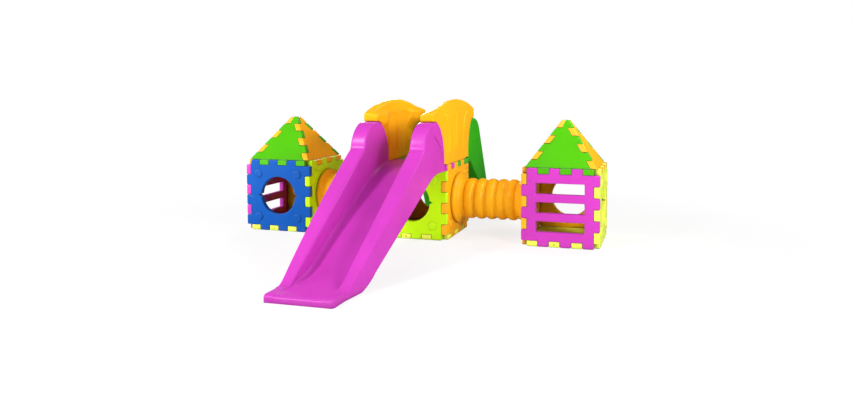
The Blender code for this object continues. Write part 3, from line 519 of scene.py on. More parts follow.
def roofOutline():  # (across, up the slope), fingers alternate up both hips
    layers = 2 * wallPanels["teeth"]
    layer = roofs["height"] / layers

    def hip(firstOwned):
        points = []
        for index in range(layers):
            owned = index % 2 == firstOwned
            low = index * layer + (gap / 2 if owned or index == 0 else -gap / 2)
            high = (index + 1) * layer + (-gap / 2 if owned or index == layers - 1 else gap / 2)
            for height in (max(low, playset["rest"]), high):
                reach = roofReach(height) if owned else roofInnerReach(height) - gap
                points.append((max(reach, roofs["tip"]), height / math.sin(roofSlope)))
        return points

    outline = hip(1) + [(-reach, up) for reach, up in hip(0)][::-1]
    return eased(wind(outline, True), roofs["fingerTip"], roofs["fingerRoot"])


def makeRoof(prefix, cubeX, quarter, side, colourName, seed):
    r = roofs
    node = f"{prefix}_roof_{side}"
    turn = Matrix.Translation((cubeX, rowY, 0)) @ Matrix.Rotation(quarter * rightAngle, 4, "Z")
    bm = bmesh.new()

    def onSlope(u, v, d):
        height = v * math.sin(roofSlope)
        return turn @ Vector((u, -max(roofReach(height) - d, gap / 2), playset["panel"] + height))

    def upright(u, v, d):
        return turn @ Vector((u, -half + d, v))

    slab(bm, [roofOutline()], roofDepth, onSlope, r["edge"], r["backEdge"], steps=3)
    for index in range(wallPanels["teeth"]):  # a tooth, and the neck that joins it to the slope
        low = -inner + (2 * index + 1) * toothPitch + gap / 2
        high = low + toothPitch - gap
        if index == wallPanels["teeth"] - 1:
            high -= gap / 2
        top = playset["panel"] - r["toothDrop"]
        tooth = eased(rectangle(low, deckBottom + bite, high, top), r["toothEdge"], 0)
        slab(bm, [tooth], playset["wall"], upright, r["toothEdge"], r["toothBackEdge"], steps=3)
        low += r["toothEdge"]
        high = min(high - r["toothEdge"], roofInnerReach(r["neckJoin"]) - gap)
        slab(bm, [rectangle(low, top - r["neckDown"], high, top + r["neckUp"])], r["neckThick"],
             lambda u, v, d: upright(u, v, r["neckDepth"] + d), bite, bite, steps=1)
    finishPiece(node + "_slope", bm, mouldedFinish(node, colourName, seed), node)


for prefix, cubeX in (("left_house", -playset["spacing"]), ("right_house", playset["spacing"])):
    for quarter, (side, colourName) in enumerate(
            (("front", "green"), ("right", "orange"), ("back", "green"), ("left", "orange"))):
        seed += 1.0
        makeRoof(prefix, cubeX, quarter, side, colourName, seed)
print("roofs made")


# Tunnels: the ribbed tube is a Geometry Nodes rule, the flanges, necks and bores are turned

tunnels = {
    "ribs": 5, "pitch": 0.124, "ribHeight": 0.0205, "ribShare": 0.76, "ribSteps": 24, "valley": 0.2115,
    "crown": 2.1, "shoulder": 1.4, "sides": 96, "merge": 0.0002, "seam": 0.0003,
    "bore": 0.199, "boreStops": (0.25, 0.0, -0.25), "neck": 0.219, "neckEnd": 0.504, "neckRound": 0.004,
    "flange": (  # distance from the tunnel's middle, and radius
        (0.316, 0.213), (0.33, 0.2165), (0.343, 0.2225), (0.35, 0.229), (0.3535, 0.2335), (0.356, 0.2365),
        (0.3565, 0.2405), (0.3585, 0.244), (0.3625, 0.2462), (0.366, 0.247), (0.3655, 0.25), (0.3665, 0.256),
        (0.37, 0.26), (0.3745, 0.2618), (0.3745, 0.2645), (0.3755, 0.27), (0.379, 0.2745), (0.3835, 0.2765),
        (0.3838, 0.2785), (0.386, 0.2803), (0.39, 0.281), (0.411, 0.281), (0.4165, 0.2795), (0.4192, 0.2768),
        (0.4196, 0.272), (0.4196, 0.222), (0.4215, 0.219)),
    "lugTurns": (45, 225), "lugAngle": math.radians(28), "lugSteps": 8, "lugStart": 0.4825, "lugLength": 0.02,
    "lugSink": 0.01, "lugRise": 0.024, "lugTaper": 0.55, "lugRound": 0.005, "lugEdge": 0.003,
}
ribInputs = ("pitch", "ribs", "ribHeight", "ribShare", "ribSteps", "valley", "crown", "shoulder", "sides",
             "merge")


def ribbedTubeTree():
    tree = bpy.data.node_groups.new("ribbed tube", "GeometryNodeTree")
    for name in ribInputs:
        kind = "NodeSocketInt" if isinstance(tunnels[name], int) else "NodeSocketFloat"
        tree.interface.new_socket(name, in_out="INPUT", socket_type=kind)
    tree.interface.new_socket("material", in_out="INPUT", socket_type="NodeSocketMaterial")
    tree.interface.new_socket("tube", in_out="OUTPUT", socket_type="NodeSocketGeometry")
    book = Book(tree)
    entry = tree.nodes.new("NodeGroupInput")
    given = {name: Wire(book, entry.outputs[name]) for name in (*ribInputs, "material")}

    # a sheet as long as the ribs, wrapped round the axis at each rib's radius
    sheet = book.add("GeometryNodeMeshGrid", None, {
        "Size X": given["pitch"] * given["ribs"], "Size Y": 1.0,
        "Vertices X": given["ribs"] * given["ribSteps"] + 1, "Vertices Y": given["sides"] + 1})
    position = book.add("GeometryNodeInputPosition")
    x, y = book.axis(position, "X"), book.axis(position, "Y")
    along = x / given["pitch"] + given["ribs"] * 0.5
    across = book.maths("ABSOLUTE", book.maths("FRACT", along) * 2.0 - 1.0)
    across = book.maths("MINIMUM", across / given["ribShare"], 1.0)
    crown = (1.0 - across ** given["crown"]) ** (given["shoulder"] / given["crown"])
    radius = given["valley"] + given["ribHeight"] * crown
    angle = (y + 0.5) * (2 * math.pi)
    wrapped = book.add("ShaderNodeCombineXYZ", None, {
        0: x, 1: radius * book.maths("COSINE", angle), 2: radius * book.maths("SINE", angle)})
    tube = book.add("GeometryNodeSetPosition", None, {"Geometry": sheet, "Position": wrapped})
    tube = book.add("GeometryNodeMergeByDistance", None, {"Geometry": tube, "Distance": given["merge"]})
    tube = book.add("GeometryNodeSetShadeSmooth", None, {"Geometry": tube, "Shade Smooth": True})
    tube = book.add("GeometryNodeRealizeInstances", None, {"Geometry": tube})
    tube = book.add("GeometryNodeSetMaterial", None, {"Geometry": tube, "Material": given["material"]})
    book.add("NodeGroupOutput", None, {"tube": tube})
    return tree


def ribbedTube(tree, material):
    carrier = newObject("ribbed_tube", bpy.data.meshes.new("ribbed_tube"))
    modifier = carrier.modifiers.new("ribs", "NODES")
    modifier.node_group = tree
    for item in tree.interface.items_tree:
        if item.in_out == "INPUT":
            modifier[item.identifier] = tunnels.get(item.name, material)
    graph = bpy.context.evaluated_depsgraph_get()
    mesh = bpy.data.meshes.new_from_object(carrier.evaluated_get(graph))
    bpy.data.objects.remove(carrier, do_unlink=True)
    return mesh


def tunnelProfile():  # (along, radius): out over one flange, back through the bore, and out over the other
    t = tunnels
    neck, end, cut = t["neck"], t["neckEnd"], t["neckRound"]
    outer = [(t["pitch"] * t["ribs"] / 2, t["valley"]), *t["flange"]]
    outer += [(end - cut, neck), (end, neck - cut), (end, t["bore"] + cut), (end - cut, t["bore"])]
    bore = [(stop, t["bore"]) for stop in t["boreStops"]]
    return outer + bore + [(-along, radius) for along, radius in outer[::-1]]


def lugOutline(turn):
    t = tunnels
    inside, outside = [], []
    for step in range(t["lugSteps"] + 1):
        angle = math.radians(turn) + t["lugAngle"] * (step / t["lugSteps"] - 0.5)
        rise = t["lugRise"] * (1 - abs(2 * step / t["lugSteps"] - 1) ** 2 * t["lugTaper"])
        for points, radius in ((inside, t["neck"] - t["lugSink"]), (outside, t["neck"] + rise)):
            points.append((radius * math.cos(angle), radius * math.sin(angle)))
    return eased(wind(inside + outside[::-1], True), t["lugRound"], 0, 2)


def makeTunnel(name, x, seed, tree):
    t = tunnels
    material = mouldedFinish(name, "orange", seed)
    bm = bmesh.new()
    bm.from_mesh(ribbedTube(tree, material))
    for face in bm.faces:
        face.material_index = 0
    profile = tunnelProfile()
    rings = []
    for index in range(t["sides"]):
        angle = 2 * math.pi * index / t["sides"]
        rings.append([bm.verts.new((a, r * math.cos(angle), r * math.sin(angle))) for a, r in profile])
    for first, second in zip(rings, rings[1:] + rings[:1]):
        for k in range(len(profile) - 1):
            bm.faces.new((first[k], second[k], second[k + 1], first[k + 1])).smooth = True
    bmesh.ops.remove_doubles(bm, verts=bm.verts, dist=t["seam"])
    for end in (-1, 1):
        for turn in t["lugTurns"]:
            slab(bm, [lugOutline(turn)], t["lugLength"], lambda u, v, d: (end * (t["lugStart"] + d), u, v),
                 t["lugEdge"], t["lugEdge"], steps=2)
    bmesh.ops.translate(bm, verts=bm.verts, vec=(x, rowY, half))
    finishPiece(name + "_tube", bm, material, name)


tubeTree = ribbedTubeTree()
makeTunnel("left_tunnel", -playset["spacing"] / 2, 31.0, tubeTree)
makeTunnel("right_tunnel", playset["spacing"] / 2, 32.0, tubeTree)
print("tunnels made")


# Deck plates: the landings of the slide and of the steps have the same plan

rail = {"outer": half - 0.009, "inner": half - 0.176, "setback": 0.035}
deck = {
    "lap": 0.02, "tuck": 0.004, "tip": 0.008, "root": 0.004, "edge": 0.006,
    "topThick": 0.06, "topEdge": 0.004, "topBackEdge": 0.002,
}
deckFront = -half - rail["setback"] - deck["lap"]


def deckOutline():  # half of the tower's top; along the sides its teeth leave room for the guards
    side = inner - gap
    under = rail["outer"] - deck["tuck"]
    corner = -inner - gap / 2
    right = [(under, deckFront), (under, -half), (half, -half), (half, corner), (side, corner)]
    left = [(-under, deckFront), (-under, -half), (-half, -half)]
    for index in range(wallPanels["teeth"]):
        low = -inner + index * toothPitch
        a, b = low + gap / 2, low + toothPitch - gap / 2
        if index % 2 == 1:
            right += [(side, a), (half, a), (half, b), (side, b)]
        else:
            left += [(-side, a), (-half, a)] if index > 0 else []
            left += [(-half, b), (-side, b)]
    outline = right + [(side, -gap / 2)] + left[::-1]
    return eased(wind(outline, True), deck["tip"], deck["root"], 3)


def addDeck(bm, turn):
    def level(top):
        return lambda u, v, d: turn @ Vector((u, v, top - d))

    top = playset["panel"] - playset["rest"]
    slab(bm, [deckOutline()], top - deckBottom, level(top), deck["edge"], deck["edge"], steps=3)
    side = inner - gap - bite
    plate = eased(rectangle(-side, deckFront, side, -gap / 2 - bite), deck["edge"], 0, 3)
    slab(bm, [plate], deck["topThick"], level(deckTop - bite), deck["topEdge"], deck["topBackEdge"], steps=3)


# Slide: its sections stand at runs measured forwards from the tower's front

slide = {
    "angle": math.radians(27), "crestForward": 0.33, "crestRadius": 1.20, "runoutRadius": 0.75, "bow": 0.02,
    "thickness": 0.045, "thinFrom": 0.16, "thinShare": 0.35, "fillet": 0.045,
    "lipHeight": 0.062, "lipLength": 0.29, "lipRound": 0.046, "lipDrop": 0.62, "lipLift": 0.03,
    "lipPinch": 0.4, "lipEdge": 0.014, "lipEdgeShare": 0.4,
    "railRunout": 0.10, "railFlat": 0.06, "leastRail": 0.06, "leastDepth": 0.004,
    "taperOut": 0.101, "taperIn": 0.03, "outerEdge": 0.016, "innerEdge": 0.022, "edgeShare": 0.45,
    "humpRise": 0.478, "humpFoot": 0.058, "humpBack": 0.265, "humpFlat": 0.06, "humpFront": 0.275,
    "humpDrop": 0.335, "railDrop": 0.265, "blendRise": 0.014, "blend": ((0.006, 0.0125), (0.001, 0.0015)),
    "blendEnd": 0.003, "grooveWidth": 0.018, "grooveDepth": 0.016, "grooveBox": ((0.08, -0.02), (0.37, 0.36)),
    "grooveSpine": ((0.105, 0.0), (0.108, 0.04), (0.112, 0.08), (0.12, 0.116), (0.132, 0.15), (0.149, 0.182),
                    (0.17, 0.21), (0.196, 0.237), (0.226, 0.262), (0.26, 0.285), (0.3, 0.307), (0.34, 0.325)),
    "backStations": 80, "flatStations": 4, "frontStations": 44, "railStations": 56, "runoutStations": 6,
    "lipStations": 9, "faceRows": 96, "edgeSteps": 6, "topSteps": 4, "wallSteps": 8, "bedSteps": 6,
}
chuteRun = slide["crestForward"] + (deckTop - slide["lipHeight"]) / math.tan(slide["angle"])
runoutEnd = chuteRun + slide["runoutRadius"] * math.tan(slide["angle"] / 2)
railEnd = runoutEnd + slide["railRunout"]
slideLength = runoutEnd + slide["lipLength"]
humpEnd = rail["setback"] + slide["humpBack"] + slide["humpFlat"] + slide["humpFront"]


def bedHeight(run):
    s = slide
    tangent = math.tan(s["angle"] / 2)
    crestStart = s["crestForward"] - s["crestRadius"] * tangent
    crestEnd = s["crestForward"] + s["crestRadius"] * tangent * math.cos(s["angle"])
    runoutStart = chuteRun - s["runoutRadius"] * tangent * math.cos(s["angle"])
    if run <= crestStart:
        return deckTop
    if run < crestEnd:
        return deckTop - s["crestRadius"] + math.sqrt(s["crestRadius"] ** 2 - (run - crestStart) ** 2)
    if run < runoutStart:
        share = (run - crestEnd) / (runoutStart - crestEnd)
        drop = (run - s["crestForward"]) * math.tan(s["angle"])
        return deckTop - drop + 4 * s["bow"] * share * (1 - share)
    if run < runoutEnd:
        return s["lipHeight"] + s["runoutRadius"] - math.sqrt(s["runoutRadius"] ** 2 - (runoutEnd - run) ** 2)
    return s["lipHeight"]


def bedUnderside(run):
    bed = bedHeight(run)
    drop = slide["thickness"] / math.cos(slide["angle"] / 2)
    drop += slide["thinShare"] * max(0.0, slide["thinFrom"] - bed)
    return min(deckBottom + bite, max(0.0, bed - drop))


def railShare(run):
    return clamp((run - humpEnd) / (railEnd - humpEnd))


def railTop(run):
    start = deckTop + slide["humpRise"] - slide["railDrop"]
    return start + (slide["lipHeight"] - start) * (run - humpEnd) / (railEnd - slide["railFlat"] - humpEnd)


def humpCurve(shape, steps, grown=0.0):  # the back of a hump of the slide or the steps, from its foot up
    back, rise = shape["humpBack"], shape["humpRise"] - shape["humpFoot"]
    points = []
    for index in range(steps + 1):
        angle = rightAngle * index / steps
        points.append((rail["setback"] + back - (back + grown) * math.cos(angle),
                       deckTop + shape["humpFoot"] + (rise + grown) * math.sin(angle)))
    return points


def slideStations():  # (run, top) of each section, from the humps' backs to the lip's edge
    s = slide
    stations = humpCurve(s, s["backStations"])
    crest = humpEnd - s["humpFront"]
    top = deckTop + s["humpRise"]
    steps = s["flatStations"]
    stations += [(crest - s["humpFlat"] * (1 - k / steps), top) for k in range(1, steps)]
    for index in range(s["frontStations"]):
        angle = rightAngle * (1 - index / s["frontStations"])
        run, height = crest + s["humpFront"] * math.cos(angle), top - s["humpDrop"] * (1 - math.sin(angle))
        if height < railTop(humpEnd) + s["blendRise"]:
            break
        stations.append((run, height))
    stations += [(humpEnd - back, railTop(humpEnd) + rise) for back, rise in s["blend"]]
    start = humpEnd + s["blendEnd"]
    for index in range(s["railStations"] + 1):
        run = start + (railEnd - start) * index / s["railStations"]
        stations.append((run, railTop(run)))
    start, flat = railEnd, slideLength - s["lipRound"]
    steps = s["runoutStations"]
    stations += [(start + (flat - start) * k / steps, 0.0) for k in range(1, steps + 1)]
    steps = s["lipStations"]
    stations += [(flat + s["lipRound"] * math.sin(rightAngle * k / steps), 0.0) for k in range(1, steps + 1)]
    return stations


def grooveDepth(run, height):
    (left, low), (right, high) = slide["grooveBox"]
    if not left < run < right or not low < height - deckTop < high:
        return 0.0
    here = Vector((run, height - deckTop))
    nearest = 1.0
    spine = [Vector(point) for point in slide["grooveSpine"]]
    for a, b in zip(spine, spine[1:]):
        along = b - a
        share = clamp((here - a).dot(along) / along.length_squared)
        nearest = min(nearest, (here - a - along * share).length)
    width = slide["grooveWidth"] / 2
    return slide["grooveDepth"] * max(0.0, 1 - (nearest / width) ** 2) ** 0.5


def slideSection(run, top):  # up the outer side, over the rail, down its inner face and along the bed
    s = slide
    curl = max(0.0, 1 - (slideLength - run) / s["lipRound"])
    curl = s["lipRound"] * (1 - math.sqrt(max(0.0, 1 - curl ** 2)))
    bed = bedHeight(run) - s["lipDrop"] * curl
    bottom = bedUnderside(run) + s["lipLift"] * curl
    out = rail["outer"] - s["taperOut"] * railShare(run) ** 2 - s["lipPinch"] * curl
    face = min(rail["inner"] - s["taperIn"] * railShare(run), out - s["leastRail"])
    depth = max(top - bed, s["leastDepth"])
    top = bed + depth
    edge = min(s["outerEdge"], s["edgeShare"] * depth)
    if run > railEnd:
        edge = min(s["lipEdge"], s["lipEdgeShare"] * (bed - bottom))
    ease = min(s["innerEdge"], s["edgeShare"] * depth)
    lift = min(s["fillet"], s["edgeShare"] * depth)
    foot = face - s["fillet"]
    points = []
    for row in range(s["faceRows"] + 1):
        height = bottom + (top - edge - bottom) * row / s["faceRows"]
        points.append((out - grooveDepth(run, height), height))
    points += cornerArc((out, top - edge), (out - edge, top), (out, top), s["edgeSteps"])
    wide = face + ease - out + edge
    points += [(out - edge + wide * k / s["topSteps"], top) for k in range(s["topSteps"] + 1)]
    points += cornerArc((face + ease, top), (face, top - ease), (face, top), s["edgeSteps"])
    fall = bed + lift - top + ease
    points += [(face, top - ease + fall * k / s["wallSteps"]) for k in range(s["wallSteps"] + 1)]
    points += cornerArc((face, bed + lift), (foot, bed), (face, bed), s["wallSteps"])
    points += [(foot * (1 - k / s["bedSteps"]), bed) for k in range(s["bedSteps"] + 1)]
    y = rowY - half - run
    right = [(x, y, z) for x, z in points]
    return right + [(-x, y, z) for x, y, z in right[-2::-1]]


def makeSlide():
    bm = bmesh.new()
    addDeck(bm, Matrix.Translation((0, rowY, 0)))
    loft(bm, [slideSection(run, top) for run, top in slideStations()])
    finishPiece("slide_chute", bm, mouldedFinish("slide", "magenta", 41.0), "slide")


makeSlide()
print("slide made")


# Climbing steps, laid out like the slide and turned half round

stairs = {
    "count": 4, "depth": 0.15, "landing": 0.50, "slant": 0.012, "nose": 0.014, "root": 0.012, "lift": 0.004,
    "toe": 0.02, "heel": 0.015, "angle": math.radians(63.7), "underAngle": math.radians(38),
    "underStart": 0.12, "underLength": 0.38, "underLift": 0.02, "underBend": 0.06, "underSteps": 5,
    "humpRise": 0.458, "humpFoot": 0.038, "humpBack": 0.215, "humpFlat": 0.035, "humpRadius": 0.25,
    "backSteps": 28, "crestSteps": 18,
    "edge": 0.016, "wallTip": 0.012, "wallRoot": 0.008, "sink": 0.01, "lap": 0.02,
}


def stepUnderside(rise, shift, lift):
    s = stairs
    drop = s["underLength"] * math.tan(s["underAngle"])
    knee = Vector((s["underStart"] + s["underLength"], deckBottom - drop))
    steep = Vector((math.cos(s["angle"]), -math.sin(s["angle"])))
    gentle = Vector((math.cos(s["underAngle"]), -math.sin(s["underAngle"])))
    foot = knee.x + knee.y / math.tan(s["angle"])
    start, end = knee + steep * s["underBend"], knee - gentle * s["underBend"]
    turned = [bend(start, knee, end, k / s["underSteps"]) for k in range(s["underSteps"] + 1)]
    points = [(foot - shift / 2, lift)] + [(point.x, point.y + shift) for point in turned]
    return points + [(s["underStart"] + shift, deckBottom + rise)]


def stepWallOutline():
    s = stairs
    crest = rail["setback"] + s["humpBack"] + s["humpFlat"]
    centre = Vector((crest, deckTop + s["humpRise"] - s["humpRadius"]))
    tangent = centre + s["humpRadius"] * Vector((math.sin(s["angle"]), math.cos(s["angle"])))
    reach = tangent.x + tangent.y / math.tan(s["angle"]) - s["toe"]
    outline = [(rail["setback"], deckBottom + bite)] + humpCurve(s, s["backSteps"])
    outline += arc(centre, s["humpRadius"], 90, 90 - math.degrees(s["angle"]), s["crestSteps"])
    outline += [(reach, s["toe"] * math.tan(s["angle"])), (reach - s["heel"], 0)]
    return outline + stepUnderside(bite, 0.0, 0.0)


def treadOutline():
    s = stairs
    rise = deckTop / s["count"]
    back = rail["setback"] - s["sink"]
    outline = [(back, deckBottom + s["sink"]), (back, deckTop)]
    for index in range(s["count"]):
        edge = s["landing"] + index * s["depth"]
        top = deckTop - index * rise
        low = top - rise if index < s["count"] - 1 else s["lift"]
        outline += [(edge, top), (edge - s["slant"], low)]
    return outline + stepUnderside(s["sink"], s["underLift"], s["lift"])


def makeSteps():
    s = stairs
    turn = Matrix.Translation((0, rowY, 0)) @ Matrix.Rotation(math.pi, 4, "Z")
    bm = bmesh.new()
    addDeck(bm, turn)
    wall = eased(wind(stepWallOutline(), True), s["wallTip"], s["wallRoot"])
    for side in (-1, 1):
        slab(bm, [wall], rail["outer"] - rail["inner"],
             lambda u, v, d: turn @ Vector((side * (rail["outer"] - d), -half - u, v)), s["edge"], s["edge"])
    tread = eased(wind(treadOutline(), True), s["nose"], s["root"])
    reach = rail["inner"] + s["lap"]
    slab(bm, [tread], 2 * reach, lambda u, v, d: turn @ Vector((reach - d, -half - u, v)),
         bite, bite, steps=1)
    node = "climbing_steps"
    finishPiece(node + "_body", bm, mouldedFinish(node, "darkGreen", 42.0), node)


makeSteps()
print("steps made")


# Side guards

guards = {
    "outer": half - 0.016, "web": 0.07, "rise": 0.232, "crownRadius": 2.05, "edge": 0.016, "shoulder": 0.034,
    "crownLip": 0.002, "front": 0.33, "frontBlunt": 0.014, "back": 0.30, "backBlunt": 0.03, "bluntShare": 0.8,
    "nose": 0.16, "noseRise": 0.097, "noseRoot": 0.22, "noseSpread": 0.27, "noseTop": (0.03, 0.02),
    "noseLow": 0.17, "swell": 0.012, "swellRise": 0.067, "swellEase": (0.035, 0.03),
    "ribWidth": 0.044, "ribHeight": 0.014, "ribSpacing": 0.26, "ribFlare": 0.11, "ribBend": 0.35,
    "ribFoot": 0.13, "ribHead": 0.004, "ribRound": 0.8, "ribMiddle": 0.12,
    "footEdge": 0.002, "footInset": 0.0006, "footRise": 0.03, "footRound": 0.0016,
    "vents": ((0.0, 1.447), (-0.40, 1.404), (0.40, 1.404)),
    "rows": 74, "crownSteps": 7, "footSteps": 5,
    "humpSteps": 34, "bluntSteps": 6, "noseSteps": 5, "waistSteps": 84, "leastStep": 0.0005,
}
guardBase = deckTop + slide["humpRise"]


def ramp(low, high, value):
    share = clamp((value - low) / (high - low))
    return share * share * (3 - 2 * share)


def ribRelief(y, z):  # three ribs, of which the outer two bend away at the top
    g = guards
    low, high = deckTop + g["ribFoot"], guardBase + g["swellRise"] - g["ribHead"]
    share = clamp((z - low) / (high - low))
    flare = max(0.0, (share - g["ribBend"]) / (1 - g["ribBend"]))
    past = max(low - z, z - high, 0.0)
    nearest = math.hypot(y, past)
    if abs(y) > g["ribMiddle"]:
        lean = 2 * g["ribFlare"] * flare / (1 - g["ribBend"]) / (high - low)
        aside = abs(y) - g["ribSpacing"] - g["ribFlare"] * flare ** 2
        nearest = min(math.hypot(aside, past), nearest) / math.sqrt(1 + lean * lean)
    return g["ribHeight"] * max(0.0, 1 - (nearest / (g["ribWidth"] / 2)) ** 2) ** g["ribRound"]


def guardDepth(y, z):  # the web, thicker at the swell, and thickest at the two noses
    g = guards
    height = z - guardBase
    before, after = g["noseTop"]
    arm = ramp(-g["noseLow"], 0.0, height) * (1 - ramp(g["noseRise"] - before, g["noseRise"] + after, height))
    arm *= ramp(g["noseRoot"], g["noseRoot"] + g["noseSpread"], abs(y))
    before, after = g["swellEase"]
    swell = g["swell"] * ramp(g["swellRise"] - before, g["swellRise"] + after, height)
    return g["web"] + swell + (g["nose"] - g["web"] - swell) * arm


def guardCrown(y):
    g = guards
    return guardBase + g["rise"] - (g["crownRadius"] - math.sqrt(g["crownRadius"] ** 2 - y ** 2))


def guardStations():  # (y, low, high, tuck) of each section, from the slide's side to the steps' side
    g = guards
    base = deckTop + playset["rest"]
    stations = []
    for side, reach, blunt, shape in ((-1, half + g["front"], g["frontBlunt"], slide),
                                      (1, half + g["back"], g["backBlunt"], stairs)):
        hump = humpCurve(shape, g["humpSteps"], gap)
        under = hump[-1][1]
        run = []
        for k in range(g["bluntSteps"] + 1):
            angle = rightAngle * k / g["bluntSteps"]
            y = reach - blunt * (1 - math.cos(angle))
            tuck = g["bluntShare"] * blunt * (1 - math.sin(angle))
            run.append((y, under + tuck, guardCrown(y) - tuck, tuck))
        last, edge = run[-1][0], half + hump[-1][0]
        levels = [(last + (edge - last) * k / g["noseSteps"], under) for k in range(1, g["noseSteps"])]
        for y, height in levels + [(half + along, height) for along, height in hump[::-1]]:
            if y < run[-1][0] - g["leastStep"]:
                run.append((y, height, guardCrown(y), 0.0))
        waist = run[-1][0]
        run.append((waist - g["leastStep"], base, guardCrown(waist), 0.0))
        for k in range(1, g["waistSteps"]):
            y = waist * (1 - k / g["waistSteps"])
            run.append((y, base, guardCrown(y), 0.0))
        run = [(side * y, low, high, tuck) for y, low, high, tuck in run]
        stations += run if side < 0 else [(0.0, base, guardCrown(0.0), 0.0)] + run[::-1]
    return stations


def guardSection(y, low, high, tuck, side):
    g = guards
    edge, rows = g["edge"], g["rows"]
    foot = g["footEdge"] if low < deckTop + edge else edge
    points = []

    def depthAt(z):
        return guardDepth(y, z) - tuck + ribRelief(y, z)

    for row in range(rows + 1):
        z = low + foot + (high - edge - foot - low) * row / rows
        points.append((tuck - ribRelief(y, z), z))
    points += cornerArc((tuck, high - edge), (tuck + edge, high), (tuck, high), g["crownSteps"])
    points.append((tuck + edge, high))
    level = high - min(g["shoulder"], high - low - 2 * edge)
    deep = depthAt(level)
    points += cornerArc((tuck + edge, high), (deep, level), (deep, high - g["crownLip"]), g["crownSteps"])
    for row in range(rows + 1):
        z = level + (low + foot - level) * row / rows
        points.append((depthAt(z), z))
    toe = depthAt(low + foot)
    points += cornerArc((toe, low + foot), (toe - foot, low), (toe, low), g["footSteps"])
    points += [(toe - foot, low), (tuck + foot, low)]
    points += cornerArc((tuck + foot, low), (tuck, low + foot), (tuck, low), g["footSteps"])
    return [Vector((side * (g["outer"] - depth), rowY + y, z)) for depth, z in points]


def makeGuard(label, side, seed):
    g = guards
    name = f"guard_{label}"
    bm = bmesh.new()
    loft(bm, [guardSection(*station, side) for station in guardStations()])
    # the tongue between the deck plates, under the web
    reach = inner - gap
    low, high = sorted((side * inner, side * (g["outer"] - g["footInset"])))
    top = deckTop + g["footRise"]
    tongue = eased(rectangle(low, rowY - reach, high, rowY + reach), g["footEdge"], 0, 3)
    slab(bm, [tongue], top - (playset["panel"] + playset["rest"]), lambda u, v, d: (u, v, top - d),
         g["footRound"], g["footRound"], steps=3)
    for y, z in g["vents"]:
        for depth, sign in ((0.0, 1), (guardDepth(y, z), -1)):  # outside and inside
            ventBeadWithShade(bm, lambda u, v, d: (side * (g["outer"] - depth - sign * d), rowY + y + u, z + v))
    finishPiece(name + "_shell", bm, mouldedFinish(name, "orange", seed), name)


makeGuard("left", -1, 43.0)
makeGuard("right", 1, 44.0)
print("guards made")


# Floor, backdrop and light

studio = {
    "floorSize": 60.0, "floorDrop": 0.0005, "floor": (0.90, 0.90, 0.90, 1.0), "floorRoughness": 0.7,
    "floorSpecular": 0.1, "floorGlow": 0.78, "floorFade": (2.2, 5.0),
    "world": 0.24, "mirrored": 0.07, "floorMirrored": 0.035, "floorMirrorShare": 0.85,
    "lights": (  # name, place, target, size, power, colour
        ("left_light", (-3.4, -5.4, 5.4), (0.0, 0.2, 0.6), 1.4, 340.0, (1.0, 0.985, 0.96)),
        ("low_left_light", (-6.0, -4.0, 2.0), (0.0, 0.0, 0.6), 2.5, 265.0, neutral),
        ("right_light", (6.4, -2.8, 2.6), (0.3, 0.4, 0.7), 1.3, 75.0, (1.0, 0.99, 0.97)),
        ("high_right_light", (5.9, -3.5, 3.4), (0.3, 0.2, 0.7), 1.4, 235.0, (1.0, 0.99, 0.97)),
        ("near_right_light", (2.6, 1.0, 2.8), (0.0, 0.7, 1.1), 0.8, 42.0, neutral),
        ("top_light", (-0.8, -3.4, 6.0), (0.0, -0.9, 0.0), 2.2, 55.0, neutral),
        ("back_light", (-3.4, 6.8, 3.4), (0.0, 0.8, 0.6), 1.8, 180.0, neutral),
        ("deck_light", (0.2, 1.0, 2.1), (-0.33, 0.7, 1.15), 0.45, 3.0, neutral),
    ),
}


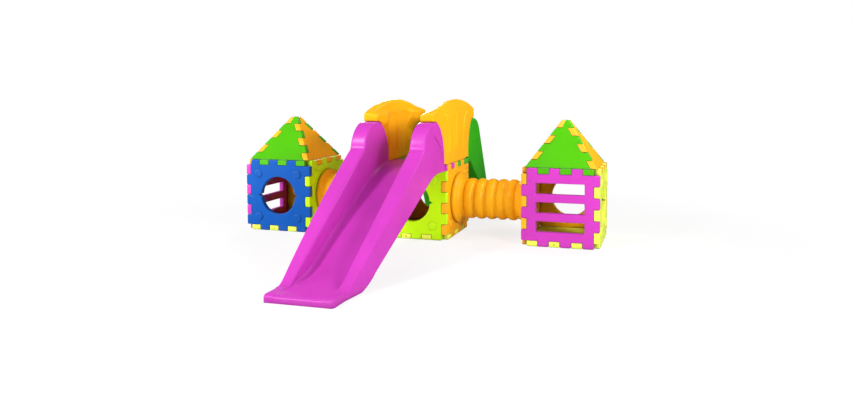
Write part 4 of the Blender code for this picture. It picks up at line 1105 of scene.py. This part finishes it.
def makeFloor():
    size, low = studio["floorSize"], -studio["floorDrop"]
    mesh = bpy.data.meshes.new("floor")
    mesh.from_pydata([(x, y, low) for x, y in rectangle(-size, -size, size, size)], [], [(0, 1, 2, 3)])
    floor = newObject("floor", mesh)
    material = bpy.data.materials.new("pale_floor")
    book = emptyBook(material)
    plain = book.add("ShaderNodeBsdfPrincipled", None, {
        "Base Color": studio["floor"], "Roughness": studio["floorRoughness"],
        "Specular IOR Level": studio["floorSpecular"]})
    glow = book.add("ShaderNodeEmission", None, {"Color": white, "Strength": 1.0})
    place = book.add("ShaderNodeTexCoord", output="Object")
    away = book.add("ShaderNodeVectorMath", {"operation": "LENGTH"}, {0: place}, "Value")
    fade = studio["floorGlow"] + (1 - studio["floorGlow"]) * book.step(away, *studio["floorFade"])
    seen = book.add("ShaderNodeLightPath", output="Is Camera Ray")
    mixed = book.add("ShaderNodeMixShader", None, {0: seen * fade, 1: plain, 2: glow})
    mirrored = book.add("ShaderNodeLightPath", output="Is Glossy Ray")
    mirrored = mirrored * studio["floorMirrorShare"]
    dull = book.add("ShaderNodeEmission", None, {"Color": white, "Strength": studio["floorMirrored"]})
    settled = book.add("ShaderNodeMixShader", None, {0: mirrored, 1: mixed, 2: dull})
    book.add("ShaderNodeOutputMaterial", None, {"Surface": settled})
    mesh.materials.append(material)


def makeWorld():
    world = bpy.data.worlds.new("studio")
    bpy.context.scene.world = world
    book = emptyBook(world)
    level = studio["world"]
    for ray, strength in (("Is Glossy Ray", studio["mirrored"]), ("Is Camera Ray", 1.0)):
        share = book.add("ShaderNodeLightPath", output=ray)
        level = book.add("ShaderNodeMix", None, {0: share, 2: level, 3: strength})
    background = book.add("ShaderNodeBackground", None, {"Color": white, "Strength": level})
    book.add("ShaderNodeOutputWorld", None, {"Surface": background})


def makeLights():
    for name, place, target, size, power, colour in studio["lights"]:
        light = bpy.data.lights.new(name, "AREA")
        light.shape = "DISK"
        light.size = size
        light.energy = power
        light.color = colour
        lamp = newObject(name, light)
        lamp.location = place
        lamp.visible_camera = False
        lamp.rotation_euler = (Vector(target) - Vector(place)).to_track_quat("-Z", "Y").to_euler()


makeFloor()
makeWorld()
makeLights()


# Camera, at the photograph's viewing angle

view = {
    "place": (2.7904, -6.6542, 1.7043), "yaw": math.radians(14.645), "pitch": math.radians(2.836),
    "roll": math.radians(-0.028), "lens": 27.944, "sensor": 36.0, "shiftX": -0.0816, "shiftY": -0.10,
}


def makeCamera():
    data = bpy.data.cameras.new("camera")
    data.lens, data.sensor_width = view["lens"], view["sensor"]
    data.shift_x, data.shift_y = view["shiftX"], view["shiftY"]
    camera = newObject("camera", data)
    turn = Matrix.Rotation(view["yaw"], 4, "Z") @ Matrix.Rotation(rightAngle - view["pitch"], 4, "X")
    camera.matrix_world = Matrix.Translation(view["place"]) @ turn @ Matrix.Rotation(view["roll"], 4, "Z")
    bpy.context.scene.camera = camera


makeCamera()
bpy.context.scene.view_settings.view_transform = "Standard"
print("studio made")
